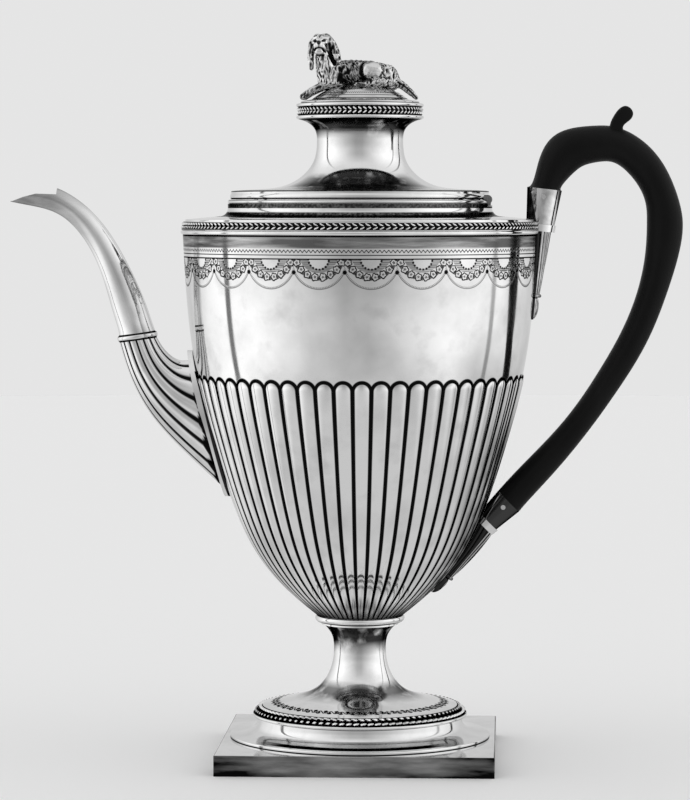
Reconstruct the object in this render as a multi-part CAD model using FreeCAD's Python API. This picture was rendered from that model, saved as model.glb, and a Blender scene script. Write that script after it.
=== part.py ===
import FreeCAD, Part
import math
import os
from FreeCAD import Placement, Rotation, Vector

os.makedirs("parts", exist_ok=True)

# Silver coffee pot on a square plinth. Millimetres, +Z up, origin at the centre of the
# plinth's underside, spout towards -X, handle towards +X.

# Sheet, fits and gaps
sheet = 1.2            # gauge of the raised and spun silver
solder_gap = 0.05      # left under pieces that are seated on the fluted bowl
tenon_clearance = 0.1  # round the wooden tenons in their sockets
pin_clearance = 0.04   # round the cross pins and the finial screw
lid_gap = 0.25         # between the mouth ring and the closed lid

# Square plinth
plinth_side = 125.4
plinth_height = 9.4
plinth_wall = 1.6
plinth_plate = 1.4
plinth_edge = 0.5      # worn rounding of its edges

# Round foot
foot_radius = 60.0
foot_edge = 1.5
foot_base_height = 9.6
foot_neck_radius = 47.0
foot_cove_brim = 7.0   # breadth, then rise, of the nearly level part of its cove
foot_cove_lift = 0.7
foot_cove_turn = 1.2   # breadth, then rise, where the cove turns upright
foot_cove_rise = 3.2
foot_wire_radius = 49.6
foot_wire_top_radius = 45.6
foot_wire_height = 5.0
foot_reed = 1.3        # plain reed along the wire's lower edge
foot_wire_depth = 4.4
stem_height = 37.4
stem_seat = 0.6        # from the wire's inner edge to the stem
stem_waist_radius = 12.0
stem_top_radius = 16.8
collar_height = 4.6
collar_radius = 20.7
collar_step = 1.0      # of its plain lower edge beyond the stem
collar_step_share = 0.25

# Body
body_height = 175.2
body_foot_radius = 20.2
body_rim_radius = 81.4
bowl_height = 112.5
flute_count = 56
flute_rise = 0.12      # of the flute's own width
flute_land = 0.25      # flat at the bottom of each groove, in degrees
flute_margin = 1.8     # plain strip above the flutes' heads
strainer_hole = 2.0    # radius
strainer_pitch = 6.5
strainer_rows = 1      # above and below the middle row

# Rim, shoulder and mouth
rim_reed_height = 2.0
rim_reed_proud = 1.0   # of the reed, then of the wire, beyond the drum
rim_wire_height = 4.0
rim_wire_proud = 0.6
rim_wire_lean = 1.0
rim_wire_swell = 0.4
rim_depth = 3.4        # of both rim wires, measured inwards
shoulder_inset = 0.8
shoulder_edge = 0.9
shoulder_rise = 2.3
mouth_radius = 60.7
mouth_wall = 2.9
mouth_height = 7.5
mouth_cove = 3.7
mouth_reed = 0.9       # radius of the half round along its top edge

# Spout
spout_seat_height = 67.6
spout_seat_width = 36.0
spout_seat_thick = 2.6
spout_root_level = 88.0   # height of the root's centre above the body's foot
spout_root_height = 61.6
spout_root_width = 30.0
spout_root_slope = 103.8   # degrees from level
spout_joint_reach = 32.4  # from the body's side to the joint
spout_joint_rise = 38.8   # from the root's centre to the joint
spout_joint_width = 17.4
spout_joint_lean = 8.0    # degrees
spout_reeds = 16
spout_reed_rise = 0.05
spout_band_height = 2.5
spout_band_proud = 0.7
spout_lip_reach = 57.2    # from the joint to the tip
spout_lip_rise = 61.2

# Handle and its sockets
handle_reach = 57.0
handle_end_width = 16.0
thumb_thick = 8.0
thumb_edge = 1.2
upper_socket_rise = 14.8    # from the shoulder to the wood
upper_socket_offset = 2.6   # from the rim wire to the sleeve's axis, at the wood
upper_socket_length = 19.4
upper_socket_foot_width = 12.4
upper_socket_lean = 6.6
upper_tenon = 10.5
lower_socket_level = 41.2   # height of the lower sleeve's foot above the body's foot
lower_socket_offset = 2.35  # from the bowl to the sleeve's axis, at its foot
lower_socket_length = 16.3
lower_socket_foot_width = 10.6
lower_socket_lean = 46.0
lower_end_width = 13.6
lower_tenon = 7.5
socket_wall = 1.0
socket_depth = 0.9          # front-to-back width of the sockets against their height
socket_collar_height = 3.2
socket_collar_proud = 0.8
cross_pin_radius = 1.1
cross_pin_inset = 3.6
cross_pin_proud = 0.25
upper_drop_length = 38.6    # from the rim down to the tip
upper_drop_radius = 5.5
lower_drop_level = 10.8     # height of the tip above the body's foot
lower_drop_radius = 5.4
drop_reeds = 12
drop_reed_rise = 0.1
drop_ring = 0.745           # where the ring sits, as a share of a drop's length
drop_neck = 0.42            # radius there, then of the ring's bead and the bud, as shares
drop_bead = 0.16
drop_bud = 0.46
drop_overlap = 1.1          # of the bud into the ring

# Hinge
hinge_radius = 2.2
hinge_length = 28.0
hinge_pin_radius = 0.8
hinge_bore_clearance = 0.05
hinge_side_gap = 0.2
hinge_knuckles = 5
hinge_plate = 0.6
hinge_clearance = 0.35
hinge_web = 0.7        # half width of a knuckle's web, as a share of its radius

# Lid
lid_ring_height = 2.55
lid_ring_radius = 59.7
lid_ring_depth = 7.6
lid_bezel_drop = 5.0
lid_bezel_gap = 0.8
lid_cone_height = 34.2
lid_waist_radius = 19.8
lid_top_radius = 28.4
lid_band_height = 7.0
lid_band_radius = 29.2
lid_band_depth = 4.6
lid_band_reed = 0.75      # radius of each half-round edge
cap_radius = 27.2
cap_edge = 1.0
cap_dome_radius = 22.3
cap_height = 9.2

# Finial
dog_length = 54.5
finial_screw_radius = 1.6
finial_screw_grip = 4.5
finial_nut_radius = 4.4
finial_nut_height = 2.6

# Levels, from the plinth upwards
plinth_top_level = plinth_height
foot_wire_level = plinth_top_level + foot_base_height
stem_level = foot_wire_level + foot_wire_height
collar_level = stem_level + stem_height
body_level = collar_level + collar_height
drum_level = body_level + bowl_height
rim_level = body_level + body_height
rim_wire_level = rim_level + rim_reed_height
shoulder_level = rim_wire_level + rim_wire_height
mouth_level = shoulder_level + shoulder_rise
mouth_top = mouth_level + mouth_height
lid_level = mouth_top + lid_gap
cone_level = lid_level + lid_ring_height
band_level = cone_level + lid_cone_height
cap_level = band_level + lid_band_height
cap_top = cap_level + cap_height
rim_reed_radius = body_rim_radius + rim_reed_proud
rim_wire_radius = body_rim_radius + rim_wire_proud
mouth_bore = mouth_radius - mouth_wall
rim_bore = rim_reed_radius - rim_depth
hinge_x = mouth_radius - hinge_radius
hinge_z = mouth_top + lid_gap / 2
hinge_floor = hinge_z - hinge_radius - hinge_clearance - hinge_plate
lid_notch_x = hinge_x - hinge_radius - hinge_clearance - 2 * hinge_plate

up = Vector(0, 0, 1)
across = Vector(0, 1, 0)


def at(r, z):
    return Vector(r, 0, z)


def line(*points):
    return [Part.makeLine(a, b) for a, b in zip(points, points[1:])]


def spline(points, tangents=None):
    curve = Part.BSplineCurve()
    if tangents:
        curve.interpolate(Points=points, InitialTangent=tangents[0], FinalTangent=tangents[1])
    else:
        curve.interpolate(points)
    return curve


def arc(a, middle, b):
    return Part.Arc(a, middle, b).toShape()


def turned(edges):
    return Part.Face(Part.Wire(Part.__sortEdges__(edges))).revolve(Vector(), up, 360)


def inset(points, wall, first, last):
    # the inner side of a sheet whose outer side runs upwards through these points
    moved = []
    for i, p in enumerate(points):
        along = points[min(i + 1, len(points) - 1)] - points[max(i - 1, 0)]
        along.normalize()
        moved.append(p + Vector(-along.z, 0, along.x) * wall)
    moved[0] = points[0] + first * wall
    moved[-1] = points[-1] + last * wall
    return moved


def oval(centre, u, v, a, b):
    # ellipse in the plane of u and v with half widths a and b, in quarters that start at u
    quarter = math.pi / 2
    nearly_round = 0.9999
    if a >= b:
        ellipse = Part.Ellipse(centre + u * a, centre + v * min(b, a * nearly_round), centre)
        start = 0.0
    else:
        ellipse = Part.Ellipse(centre + v * b, centre - u * min(a, b * nearly_round), centre)
        start = -quarter
    return Part.Wire([ellipse.toShape(start + quarter * i, start + quarter * (i + 1)) for i in range(4)])


def reeded(centre, u, v, a, b, reeds, rise):
    # the same oval, with round reeds that stand out from its grooves
    def on(step, share):
        t = math.pi * step / reeds
        return centre + u * (a * share * math.cos(t)) + v * (b * share * math.sin(t))

    edges = []
    for i in range(reeds):
        edges.append(arc(on(2 * i, 1 - rise), on(2 * i + 1, 1), on(2 * i + 2, 1 - rise)))
    return Part.Wire(edges)


def loft(wires, ruled=False):
    # the order of the sections decides which side is the inside
    solid = Part.makeLoft(wires, True, ruled)
    return solid if solid.Volume > 0 else Part.makeLoft(wires[::-1], True, ruled)


def spheroid(centre, half, radius, axis):
    # turned body with a half length along its axis, and an oval outline
    quarter = math.pi / 2
    if half >= radius:
        side = Part.Ellipse(at(0, half), at(radius, 0), Vector()).toShape(0, 2 * quarter)
    else:
        side = Part.Ellipse(at(radius, 0), at(0, half), Vector()).toShape(-quarter, quarter)
    body = turned([side] + line(at(0, half), at(0, -half)))
    body.Placement = Placement(centre, Rotation(up, axis))
    return body


def along_lean(degrees):
    # upward direction in the XZ plane, leaning towards +X
    lean = math.radians(degrees)
    return Vector(math.sin(lean), 0, math.cos(lean))


# Body outline: share of the height, and share of the way from the foot's radius to the
# rim's, at the bottom of the grooves
body_shape = [
    (0.0, 0.0), (0.066, 0.217), (0.184, 0.477), (0.289, 0.611), (0.46, 0.768),
    (0.617, 0.886), (0.7, 0.93), (0.828, 0.971), (1.0, 1.0),
]
body_curve = spline([
    at(body_foot_radius + s * (body_rim_radius - body_foot_radius), body_level + h * body_height)
    for h, s in body_shape
])


def curve_at(level):
    # parameter of the body outline at a level
    low, high = body_curve.FirstParameter, body_curve.LastParameter
    for _ in range(50):
        middle = (low + high) / 2
        if body_curve.value(middle).z < level:
            low = middle
        else:
            high = middle
    return (low + high) / 2


def groove_radius(level):
    return body_curve.value(curve_at(level)).x


def crest_radius(level):
    return groove_radius(level) * (1 + flute_rise * 2 * math.pi / flute_count)


def body_edge(low, high):
    return body_curve.toShape(curve_at(low), curve_at(high))


def crest_curve(gap):
    steps = 10
    levels = [body_level + bowl_height * i / steps for i in range(steps + 1)]
    return spline([at(crest_radius(z) + gap, z) for z in levels])


def bowl_envelope(gap):
    # solid that fills the bowl out to the crests of its flutes
    curve = crest_curve(gap)
    first, last = curve.StartPoint, curve.EndPoint
    return turned([curve.toShape()] + line(last, at(0, last.z), at(0, first.z), first))


def plinth_block(low, high):
    # square block with its upright edges worn round
    corner = Vector(-plinth_side / 2, -plinth_side / 2, low)
    block = Part.makeBox(plinth_side, plinth_side, high - low, corner)
    return block.makeFillet(plinth_edge, [e for e in block.Edges if e.BoundBox.ZLength > plinth_edge])


def plinth_sides():
    height = plinth_height - plinth_plate
    hollow = plinth_side - 2 * plinth_wall
    inside = Part.makeBox(hollow, hollow, height, Vector(-hollow / 2, -hollow / 2, 0))
    return plinth_block(0.0, height).cut(inside)


def plinth_top():
    plate = plinth_block(plinth_height - plinth_plate, plinth_height)
    rim = [e for e in plate.Edges if e.BoundBox.ZMin > plinth_height - plinth_plate / 2]
    plate = plate.makeFillet(plinth_edge, rim)
    return plate.cut(Part.makeCylinder(foot_neck_radius, 2 * plinth_height))


def foot_base():
    top = foot_wire_level
    edge = plinth_top_level + foot_edge
    neck = foot_neck_radius
    cove = [
        at(foot_radius, edge), at(neck + foot_cove_brim, edge + foot_cove_lift),
        at(neck + foot_cove_turn, edge + foot_cove_rise), at(neck, top),
    ]
    hollow = inset(cove, sheet, Vector(0, 0, -1), Vector(-1, 0, 0))
    foot = at(foot_radius, plinth_top_level)
    inner_foot = at(hollow[1].x, plinth_top_level)
    return turned(
        line(inner_foot, foot, cove[0]) + [spline(cove).toShape()] + line(cove[-1], hollow[-1])
        + [spline(hollow[1:]).toShape()] + line(hollow[1], inner_foot)
    )


def foot_wire():
    low, top = foot_wire_level, stem_level
    bore = foot_wire_radius - foot_wire_depth - foot_reed
    reed_top = low + 2 * foot_reed
    start = at(foot_wire_radius - foot_reed, low)
    bulge = at(foot_wire_radius, low + foot_reed)
    shelf = at(foot_wire_radius - foot_reed, reed_top)
    upper = at(foot_wire_top_radius, top)
    return turned(
        line(at(bore, low), start) + [arc(start, bulge, shelf)]
        + line(shelf, upper, at(bore, top), at(bore, low))
    )


def foot_stem():
    base = foot_wire_top_radius - stem_seat
    rise = stem_height
    outline = [
        at(base, stem_level), at(base * 0.72, stem_level + 0.075 * rise),
        at(stem_waist_radius * 1.67, stem_level + 0.2 * rise),
        at(stem_waist_radius * 1.12, stem_level + 0.455 * rise),
        at(stem_waist_radius, stem_level + 0.7 * rise),
        at(stem_waist_radius * 1.1, stem_level + 0.88 * rise),
        at(stem_top_radius, collar_level),
    ]
    hollow = inset(outline, sheet, Vector(-2.4, 0, 0), Vector(-2.0, 0, 0))
    return turned([spline(outline).toShape()] + line(outline[0], *hollow, outline[-1]))


def stem_collar():
    step = stem_top_radius + collar_step
    bore = stem_waist_radius - sheet
    shelf = collar_level + collar_step_share * collar_height
    half = (body_level - shelf) / 2
    low, high = at(collar_radius - half, shelf), at(collar_radius - half, body_level)
    bulge = at(collar_radius, shelf + half)
    return turned(
        line(at(bore, collar_level), at(step, collar_level), at(step, shelf), low)
        + [arc(low, bulge, high)] + line(high, at(bore, body_level), at(bore, collar_level))
    )


def flute_faces():
    # outer faces of one pitch of the bowl: a flute with its round head, the plain corners
    # beside the head, and the narrow land up to the next flute
    half = 180.0 / flute_count - flute_land / 2
    head_level = drum_level - flute_margin
    spring = head_level - math.radians(half) * groove_radius(head_level)

    def on_groove(level, degrees):
        turn = math.radians(degrees)
        radius = groove_radius(level)
        return Vector(radius * math.cos(turn), radius * math.sin(turn), level)

    def rib(level, share):
        rise = (crest_radius(level) - groove_radius(level)) * share
        crest = on_groove(level, 0) + Vector(rise, 0, 0)
        return arc(on_groove(level, -half * share), crest, on_groove(level, half * share))

    levels = wall_levels(body_level, spring)
    shaft = []
    lands = []
    for low, high in zip(levels, levels[1:]):
        shaft.append(Part.makeRuledSurface(rib(low, 1.0), rib(high, 1.0)))
        lands.append(Part.makeLine(on_groove(low, half), on_groove(high, half)))
    lands.append(Part.makeLine(on_groove(spring, half), on_groove(drum_level, half)))
    turns = [math.radians(a) for a in (0, 30, 55, 75)]
    ribs = [Part.Wire(rib(spring + (head_level - spring) * math.sin(t), math.cos(t))) for t in turns]
    head = Part.makeLoft(ribs + [Part.Vertex(on_groove(head_level, 0))], False)
    sides = [e for e in head.Edges if e.BoundBox.ZLength > 1]
    sides.sort(key=lambda e: e.CenterOfMass.y)
    corners = []
    for side, end in zip(sides, (-half, half)):
        top = arc(on_groove(drum_level, end), on_groove(drum_level, end / 2), on_groove(drum_level, 0))
        corners.append(Part.makeRuledSurface(side, top))
    return shaft + head.Faces + corners + [edge.revolve(Vector(), up, flute_land) for edge in lands]


def wall_levels(low, high):
    # levels between straight stretches of the bowl's wall, closer together where it curves
    steps = 9
    first, last = curve_at(low), curve_at(high)
    return [low] + [body_curve.value(first + (last - first) * i / steps).z for i in range(1, steps)] + [high]


def body_bowl():
    pitch = 360.0 / flute_count
    faces = []
    one_pitch = flute_faces()
    for i in range(flute_count):
        for face in one_pitch:
            copy = face.copy()
            copy.rotate(Vector(), up, pitch * (i + 0.5))
            faces.append(copy)
    skin = Part.makeCompound(faces)
    skin.sewShape()
    for level in (body_level, drum_level):
        rim = [e for e in skin.Edges if e.BoundBox.ZMin > level - 0.01 and e.BoundBox.ZMax < level + 0.01]
        faces.append(Part.Face(Part.Wire(Part.__sortEdges__(rim))))
    skin = Part.makeCompound(faces)
    skin.sewShape()
    block = Part.Solid(Part.Shell(skin.Faces))
    floor = body_level + sheet
    wall = [at(groove_radius(z) - sheet, z) for z in wall_levels(floor, drum_level)]
    hollow = turned(line(*wall, at(0, drum_level), at(0, floor), wall[0]))
    return block.cut(hollow).cut(strainer_holes())


def strainer_holes():
    middle = body_level + spout_root_level
    holes = []
    for row in range(-strainer_rows, strainer_rows + 1):
        columns = 2 if row % 2 else 3
        for column in range(columns):
            y = (column - (columns - 1) / 2) * strainer_pitch
            z = middle + row * strainer_pitch * math.cos(math.radians(30))
            start = Vector(-body_rim_radius, y, z)
            holes.append(Part.makeCylinder(strainer_hole, body_rim_radius / 2, start, Vector(1, 0, 0)))
    return Part.makeCompound(holes)


def body_drum():
    steps = 4
    levels = [drum_level + (rim_level - drum_level) * i / steps for i in range(steps + 1)]
    wall = [at(groove_radius(z) - sheet, z) for z in levels]
    low, high = at(groove_radius(drum_level), drum_level), at(groove_radius(rim_level), rim_level)
    return turned(
        [body_edge(drum_level, rim_level), spline(wall).toShape()]
        + line(low, wall[0]) + line(high, wall[-1])
    )


def drum_envelope(gap):
    # solid that fills the drum
    steps = 4
    levels = [drum_level + (rim_level - drum_level) * i / steps for i in range(steps + 1)]
    side = [at(groove_radius(z) + gap, z) for z in levels]
    return turned([spline(side).toShape()] + line(side[-1], at(0, rim_level), at(0, drum_level), side[0]))


def rim_reed():
    half = rim_reed_height / 2
    edge = rim_reed_radius - half
    low, high = at(edge, rim_level), at(edge, rim_wire_level)
    return turned(
        line(at(rim_bore, rim_level), low) + [arc(low, at(rim_reed_radius, rim_level + half), high)]
        + line(high, at(rim_bore, rim_wire_level), at(rim_bore, rim_level))
    )


def rim_wire():
    low = at(rim_wire_radius, rim_wire_level)
    high = at(rim_wire_radius - rim_wire_lean, shoulder_level)
    swell = (low + high) / 2 + Vector(rim_wire_swell, 0, 0)
    return turned(
        line(at(rim_bore, rim_wire_level), low) + [arc(low, swell, high)]
        + line(high, at(rim_bore, shoulder_level), at(rim_bore, rim_wire_level))
    )


def shoulder():
    edge = rim_wire_radius - rim_wire_lean - shoulder_inset
    return turned(line(
        at(rim_bore, shoulder_level), at(edge, shoulder_level), at(edge, shoulder_level + shoulder_edge),
        at(mouth_radius + mouth_cove, mouth_level), at(mouth_bore, mouth_level),
        at(mouth_bore, mouth_level - shoulder_edge), at(rim_bore, shoulder_level),
    ))


def mouth_ring():
    foot = at(mouth_radius + mouth_cove, mouth_level)
    cove_top = at(mouth_radius, mouth_level + mouth_cove)
    dip = mouth_cove * (1 - math.sqrt(0.5))
    cove_middle = at(mouth_radius + dip, mouth_level + dip)
    reed_foot = mouth_top - 2 * mouth_reed
    edge = mouth_radius - mouth_reed
    ring = turned(
        line(at(mouth_bore, mouth_level), foot) + [arc(foot, cove_middle, cove_top)]
        + line(cove_top, at(mouth_radius, reed_foot), at(edge, reed_foot))
        + [arc(at(edge, reed_foot), at(mouth_radius, mouth_top - mouth_reed), at(edge, mouth_top))]
        + line(at(edge, mouth_top), at(mouth_bore, mouth_top), at(mouth_bore, mouth_level))
    )
    start = hinge_x - hinge_radius - hinge_clearance
    return ring.cut(slab(start, 2 * mouth_radius, hinge_floor, lid_level, hinge_length / 2 + hinge_clearance))


def pot_envelope(grow):
    # smooth solid that stands a distance off the bowl's crests and the drum
    steps = 6
    fluted_share = 0.9
    levels = [body_level + fluted_share * bowl_height * i / steps for i in range(steps + 1)]
    points = [at(crest_radius(z) + grow, z) for z in levels]
    step = (rim_level - drum_level) / steps
    levels = [drum_level + step * i for i in range(1, steps)]
    points += [at(groove_radius(z) + grow, z) for z in levels]
    first, last = points[0], points[-1]
    return turned([spline(points).toShape()] + line(last, at(0, last.z), at(0, first.z), first))


spout_root_point = at(-crest_radius(body_level + spout_root_level), body_level + spout_root_level)
spout_joint = spout_root_point + Vector(-spout_joint_reach, 0, spout_joint_rise)
spout_axis = along_lean(-spout_joint_lean)
spout_reed_depth = spout_reed_rise * spout_joint_width / 2
spout_bore = spout_joint_width / 2 - spout_reed_depth - sheet

# Outlines of the reeded root, above and below: shares of the way out and up to the joint
spout_root_top = [(0.0, 0.0), (0.33, -0.06), (0.645, 0.21), (0.85, 0.585), (1.0, 1.0)]
spout_root_keel = [(0.0, 0.0), (0.382, 0.253), (0.67, 0.478), (0.89, 0.757), (1.0, 1.0)]


def spout_outline(shares, side):
    # the outline that starts at one end of the root's section and ends at the joint's
    start = spout_root_point + along_lean(90 - spout_root_slope) * (side * spout_root_height / 2)
    end = spout_joint + along_lean(90 - spout_joint_lean) * (side * spout_joint_width / 2)
    way = end - start
    return spline([start + Vector(way.x * x, 0, way.z * z) for x, z in shares])


def spout_root_solids(thick, rise, inward, ruled):
    # the root less a wall all round, and its straight run on into the pot
    top, keel = spout_outline(spout_root_top, 1), spout_outline(spout_root_keel, -1)
    steps = 6
    wires = []
    for i in [0] + list(range(steps + 1)):
        share = i / steps
        high = top.value(top.FirstParameter + share * (top.LastParameter - top.FirstParameter))
        low = keel.value(keel.FirstParameter + share * (keel.LastParameter - keel.FirstParameter))
        u = (high - low).normalize()
        a = (high - low).Length / 2 - thick
        b = (spout_root_width + (spout_joint_width - spout_root_width) * share) / 2 - thick
        centre = (high + low) / 2 if wires else (high + low) / 2 + Vector(inward, 0, 0)
        wires.append(reeded(centre, u, across, a, b, spout_reeds, rise))
    return loft(wires[1:], ruled), loft(wires[:2], True)


def spout_root_bore():
    return spout_root_solids(sheet + spout_reed_depth, 0.0, 2 * spout_seat_width, True)


def spout_root():
    root, tail = spout_root_solids(0.0, spout_reed_rise, spout_seat_width / 2, False)
    root = root.fuse(tail)
    for solid in spout_root_bore():
        root = root.cut(solid)
    return root.cut(pot_envelope(solder_gap + spout_seat_thick))


def spout_seat():
    centre = spout_root_point + Vector(-spout_seat_width, 0, 0)
    outline = Part.Face(oval(centre, up, across, spout_seat_height / 2, spout_seat_width / 2))
    plate = outline.extrude(Vector(2 * spout_seat_width, 0, 0))
    plate = plate.common(pot_envelope(solder_gap + spout_seat_thick))
    plate = plate.cut(bowl_envelope(solder_gap)).cut(drum_envelope(solder_gap))
    for solid in spout_root_bore():
        plate = plate.cut(solid)
    return plate


def spout_band():
    edge = spout_joint_width / 2
    low, high = at(edge, 0), at(edge, spout_band_height)
    bulge = at(edge + spout_band_proud, spout_band_height / 2)
    ring = turned(
        line(at(spout_bore, 0), low) + [arc(low, bulge, high)]
        + line(high, at(spout_bore, spout_band_height), at(spout_bore, 0))
    )
    ring.Placement = Placement(spout_joint, Rotation(up, spout_axis))
    return ring


# Stations of the plain neck: shares of the way out and up to the lip, then height and width
# as shares of the joint's
spout_neck_stations = [
    (0.0, 0.0, 0.98, 0.98), (0.048, 0.154, 0.91, 0.91), (0.174, 0.474, 0.76, 0.76),
    (0.333, 0.748, 0.655, 0.655), (0.499, 0.918, 0.61, 0.61), (0.66, 1.008, 0.62, 0.61),
    (0.843, 1.047, 0.585, 0.52), (1.014, 1.072, 0.54, 0.32),
]

# Open lip, from its tip: distance back and rise
spout_lip = [(20.5, 3.1), (11.0, 3.4), (5.0, 1.9), (-0.3, 0.0)]


def spout_neck():
    start = spout_joint + spout_axis * spout_band_height
    way = Vector(-spout_lip_reach, 0, spout_lip_rise)
    centres = [start + Vector(way.x * x, 0, way.z * z) for x, z, high, wide in spout_neck_stations]
    path = spline(centres, (spout_axis, Vector(-1, 0, 0.1)))
    outer = []
    inner = []
    for centre, (x, z, high, wide) in zip(centres, spout_neck_stations):
        tangent = path.tangent(path.parameter(centre))[0]
        u = Vector(tangent.z, 0, -tangent.x)
        a, b = high * spout_joint_width / 2, wide * spout_joint_width / 2
        outer.append(oval(centre, u, across, a, b))
        inner.append(oval(centre, u, across, a - sheet, b - sheet))
    lip = [start + way + Vector(x, 0, z) for x, z in spout_lip]
    outside = Vector(-spout_lip_reach, 0, 0)
    above = Vector(0, 0, spout_lip_rise)
    lip = [lip[0] + above] + lip + [lip[-1] + outside, lip[-1] + outside + above]
    wide = Vector(0, spout_joint_width, 0)
    opening = Part.Face(Part.makePolygon([p - wide for p in lip + lip[:1]])).extrude(wide * 2)
    return loft(outer).cut(loft(inner, True)).cut(opening)


upper_axis = along_lean(upper_socket_lean)
lower_axis = along_lean(lower_socket_lean)
upper_joint = at(rim_wire_radius + upper_socket_offset, shoulder_level + upper_socket_rise)
lower_foot_level = body_level + lower_socket_level
lower_foot = at(crest_radius(lower_foot_level) + lower_socket_offset, lower_foot_level)
lower_joint = lower_foot + lower_axis * lower_socket_length

# Each socket: joint with the wood, axis, length, width at the wood and at the foot
upper_mount = (upper_joint, upper_axis, upper_socket_length, handle_end_width, upper_socket_foot_width)
lower_mount = (lower_joint, lower_axis, lower_socket_length, lower_end_width, lower_socket_foot_width)

# Stations of the wood: share of the height from the lower joint to the upper, share of the
# reach, width in shares of the upper end's
handle_stations = [
    (1.0, 0.0, 1.0), (1.077, 0.068, 1.056), (1.132, 0.212, 1.138), (1.143, 0.37, 1.05),
    (1.133, 0.574, 0.975), (1.086, 0.746, 0.956), (1.011, 0.893, 0.919), (0.905, 0.99, 1.02),
    (0.792, 1.0, 0.95), (0.638, 0.94, 0.8125), (0.484, 0.81, 0.7875), (0.33, 0.61, 0.7375),
    (0.176, 0.354, 0.775), (0.048, 0.093, 0.844),
]
thumb_station = 4

# Scrolled thumb-piece, from the middle of the wood below it
thumb_piece = [
    (-4.8, 4.0), (-4.6, 11.7), (-2.8, 15.1), (-0.6, 17.7), (1.8, 18.7), (4.6, 17.2), (5.4, 15.1),
    (4.3, 12.6), (2.6, 11.2), (3.7, 4.0),
]


def sleeve(mount, top, bottom, grow):
    # solid round a socket's axis between two depths below the joint
    joint, axis, length, wide, narrow = mount
    side = Vector(axis.z, 0, -axis.x)
    wires = []
    for depth in (top, bottom):
        half = (wide + (narrow - wide) * depth / length) / 2
        wires.append(oval(joint - axis * depth, side, across, half + grow, half * socket_depth + grow))
    return loft(wires, True)


def cross_pin(mount, grow):
    joint, axis, length, wide, narrow = mount
    half = (wide + (narrow - wide) * cross_pin_inset / length) / 2 * socket_depth + cross_pin_proud
    middle = joint - axis * cross_pin_inset
    return Part.makeCylinder(cross_pin_radius + grow, 2 * half, middle - across * half, across)


def socket(mount, tenon):
    body = sleeve(mount, 0.0, mount[2], 0.0)
    body = body.cut(sleeve(mount, 0.0, tenon + tenon_clearance, -socket_wall))
    return body.cut(cross_pin(mount, pin_clearance))


def collar(mount):
    length = mount[2]
    ring = sleeve(mount, length - socket_collar_height, length, socket_collar_proud)
    return ring.cut(sleeve(mount, 0.0, length, 0.0))


def drop(mount, side, tip_level, radius):
    # reeded drop from a socket's foot down the pot's side, ending in a ring and a bud
    joint, axis, length, wide, narrow = mount
    top = joint - axis * (length - socket_collar_height / 2)
    proud = top.x - side(top.z)
    steps = 6
    points = []
    for i in range(steps + 1):
        level = top.z + (tip_level - top.z) * i / steps
        points.append(at(side(level) + proud * (1 - i / steps), level))
    path = spline(points)

    def along(share):
        place = path.FirstParameter + share * (path.LastParameter - path.FirstParameter)
        return path.value(place), path.tangent(place)[0] * -1

    wires = []
    for i in range(steps):
        share = i / (steps - 1)
        centre, rise = along(drop_ring * share)
        size = radius * (1 - (1 - drop_neck) * share)
        side_way = Vector(rise.z, 0, -rise.x)
        wires.append(reeded(centre, side_way, across, size, size, drop_reeds, drop_reed_rise))
    centre, rise = along(drop_ring)
    ring = Part.makeTorus(radius * drop_neck, radius * drop_bead, centre, rise)
    centre, rise = along((1 + drop_ring) / 2)
    half = (points[0] - points[-1]).Length * (1 - drop_ring) / 2
    bud = spheroid(centre, half * drop_overlap, radius * drop_bud, rise)
    whole = loft(wires).fuse(ring).fuse(bud)
    return whole.cut(sleeve(mount, 0.0, length, socket_collar_proud))


def off_pot(shape):
    # what lies outside the rim, the shoulder and the drum
    height = shoulder_level + shoulder_edge / 2 - rim_level
    filling = Part.makeCylinder(rim_bore + sheet, height, at(0, rim_level))
    for solid in (filling, rim_reed(), rim_wire(), shoulder(), drum_envelope(0.0)):
        shape = shape.cut(solid)
    return shape


def off_bowl(shape):
    return shape.cut(bowl_envelope(solder_gap))


def upper_socket():
    return off_pot(socket(upper_mount, upper_tenon))


def upper_collar():
    return off_pot(collar(upper_mount))


def upper_drop():
    return off_pot(drop(upper_mount, groove_radius, rim_level - upper_drop_length, upper_drop_radius))


def upper_pin():
    return cross_pin(upper_mount, 0.0)


def lower_socket():
    return off_bowl(socket(lower_mount, lower_tenon))


def lower_collar():
    return off_bowl(collar(lower_mount))


def lower_drop():
    return off_bowl(drop(lower_mount, crest_radius, body_level + lower_drop_level, lower_drop_radius))


def lower_pin():
    return cross_pin(lower_mount, 0.0)


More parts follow.
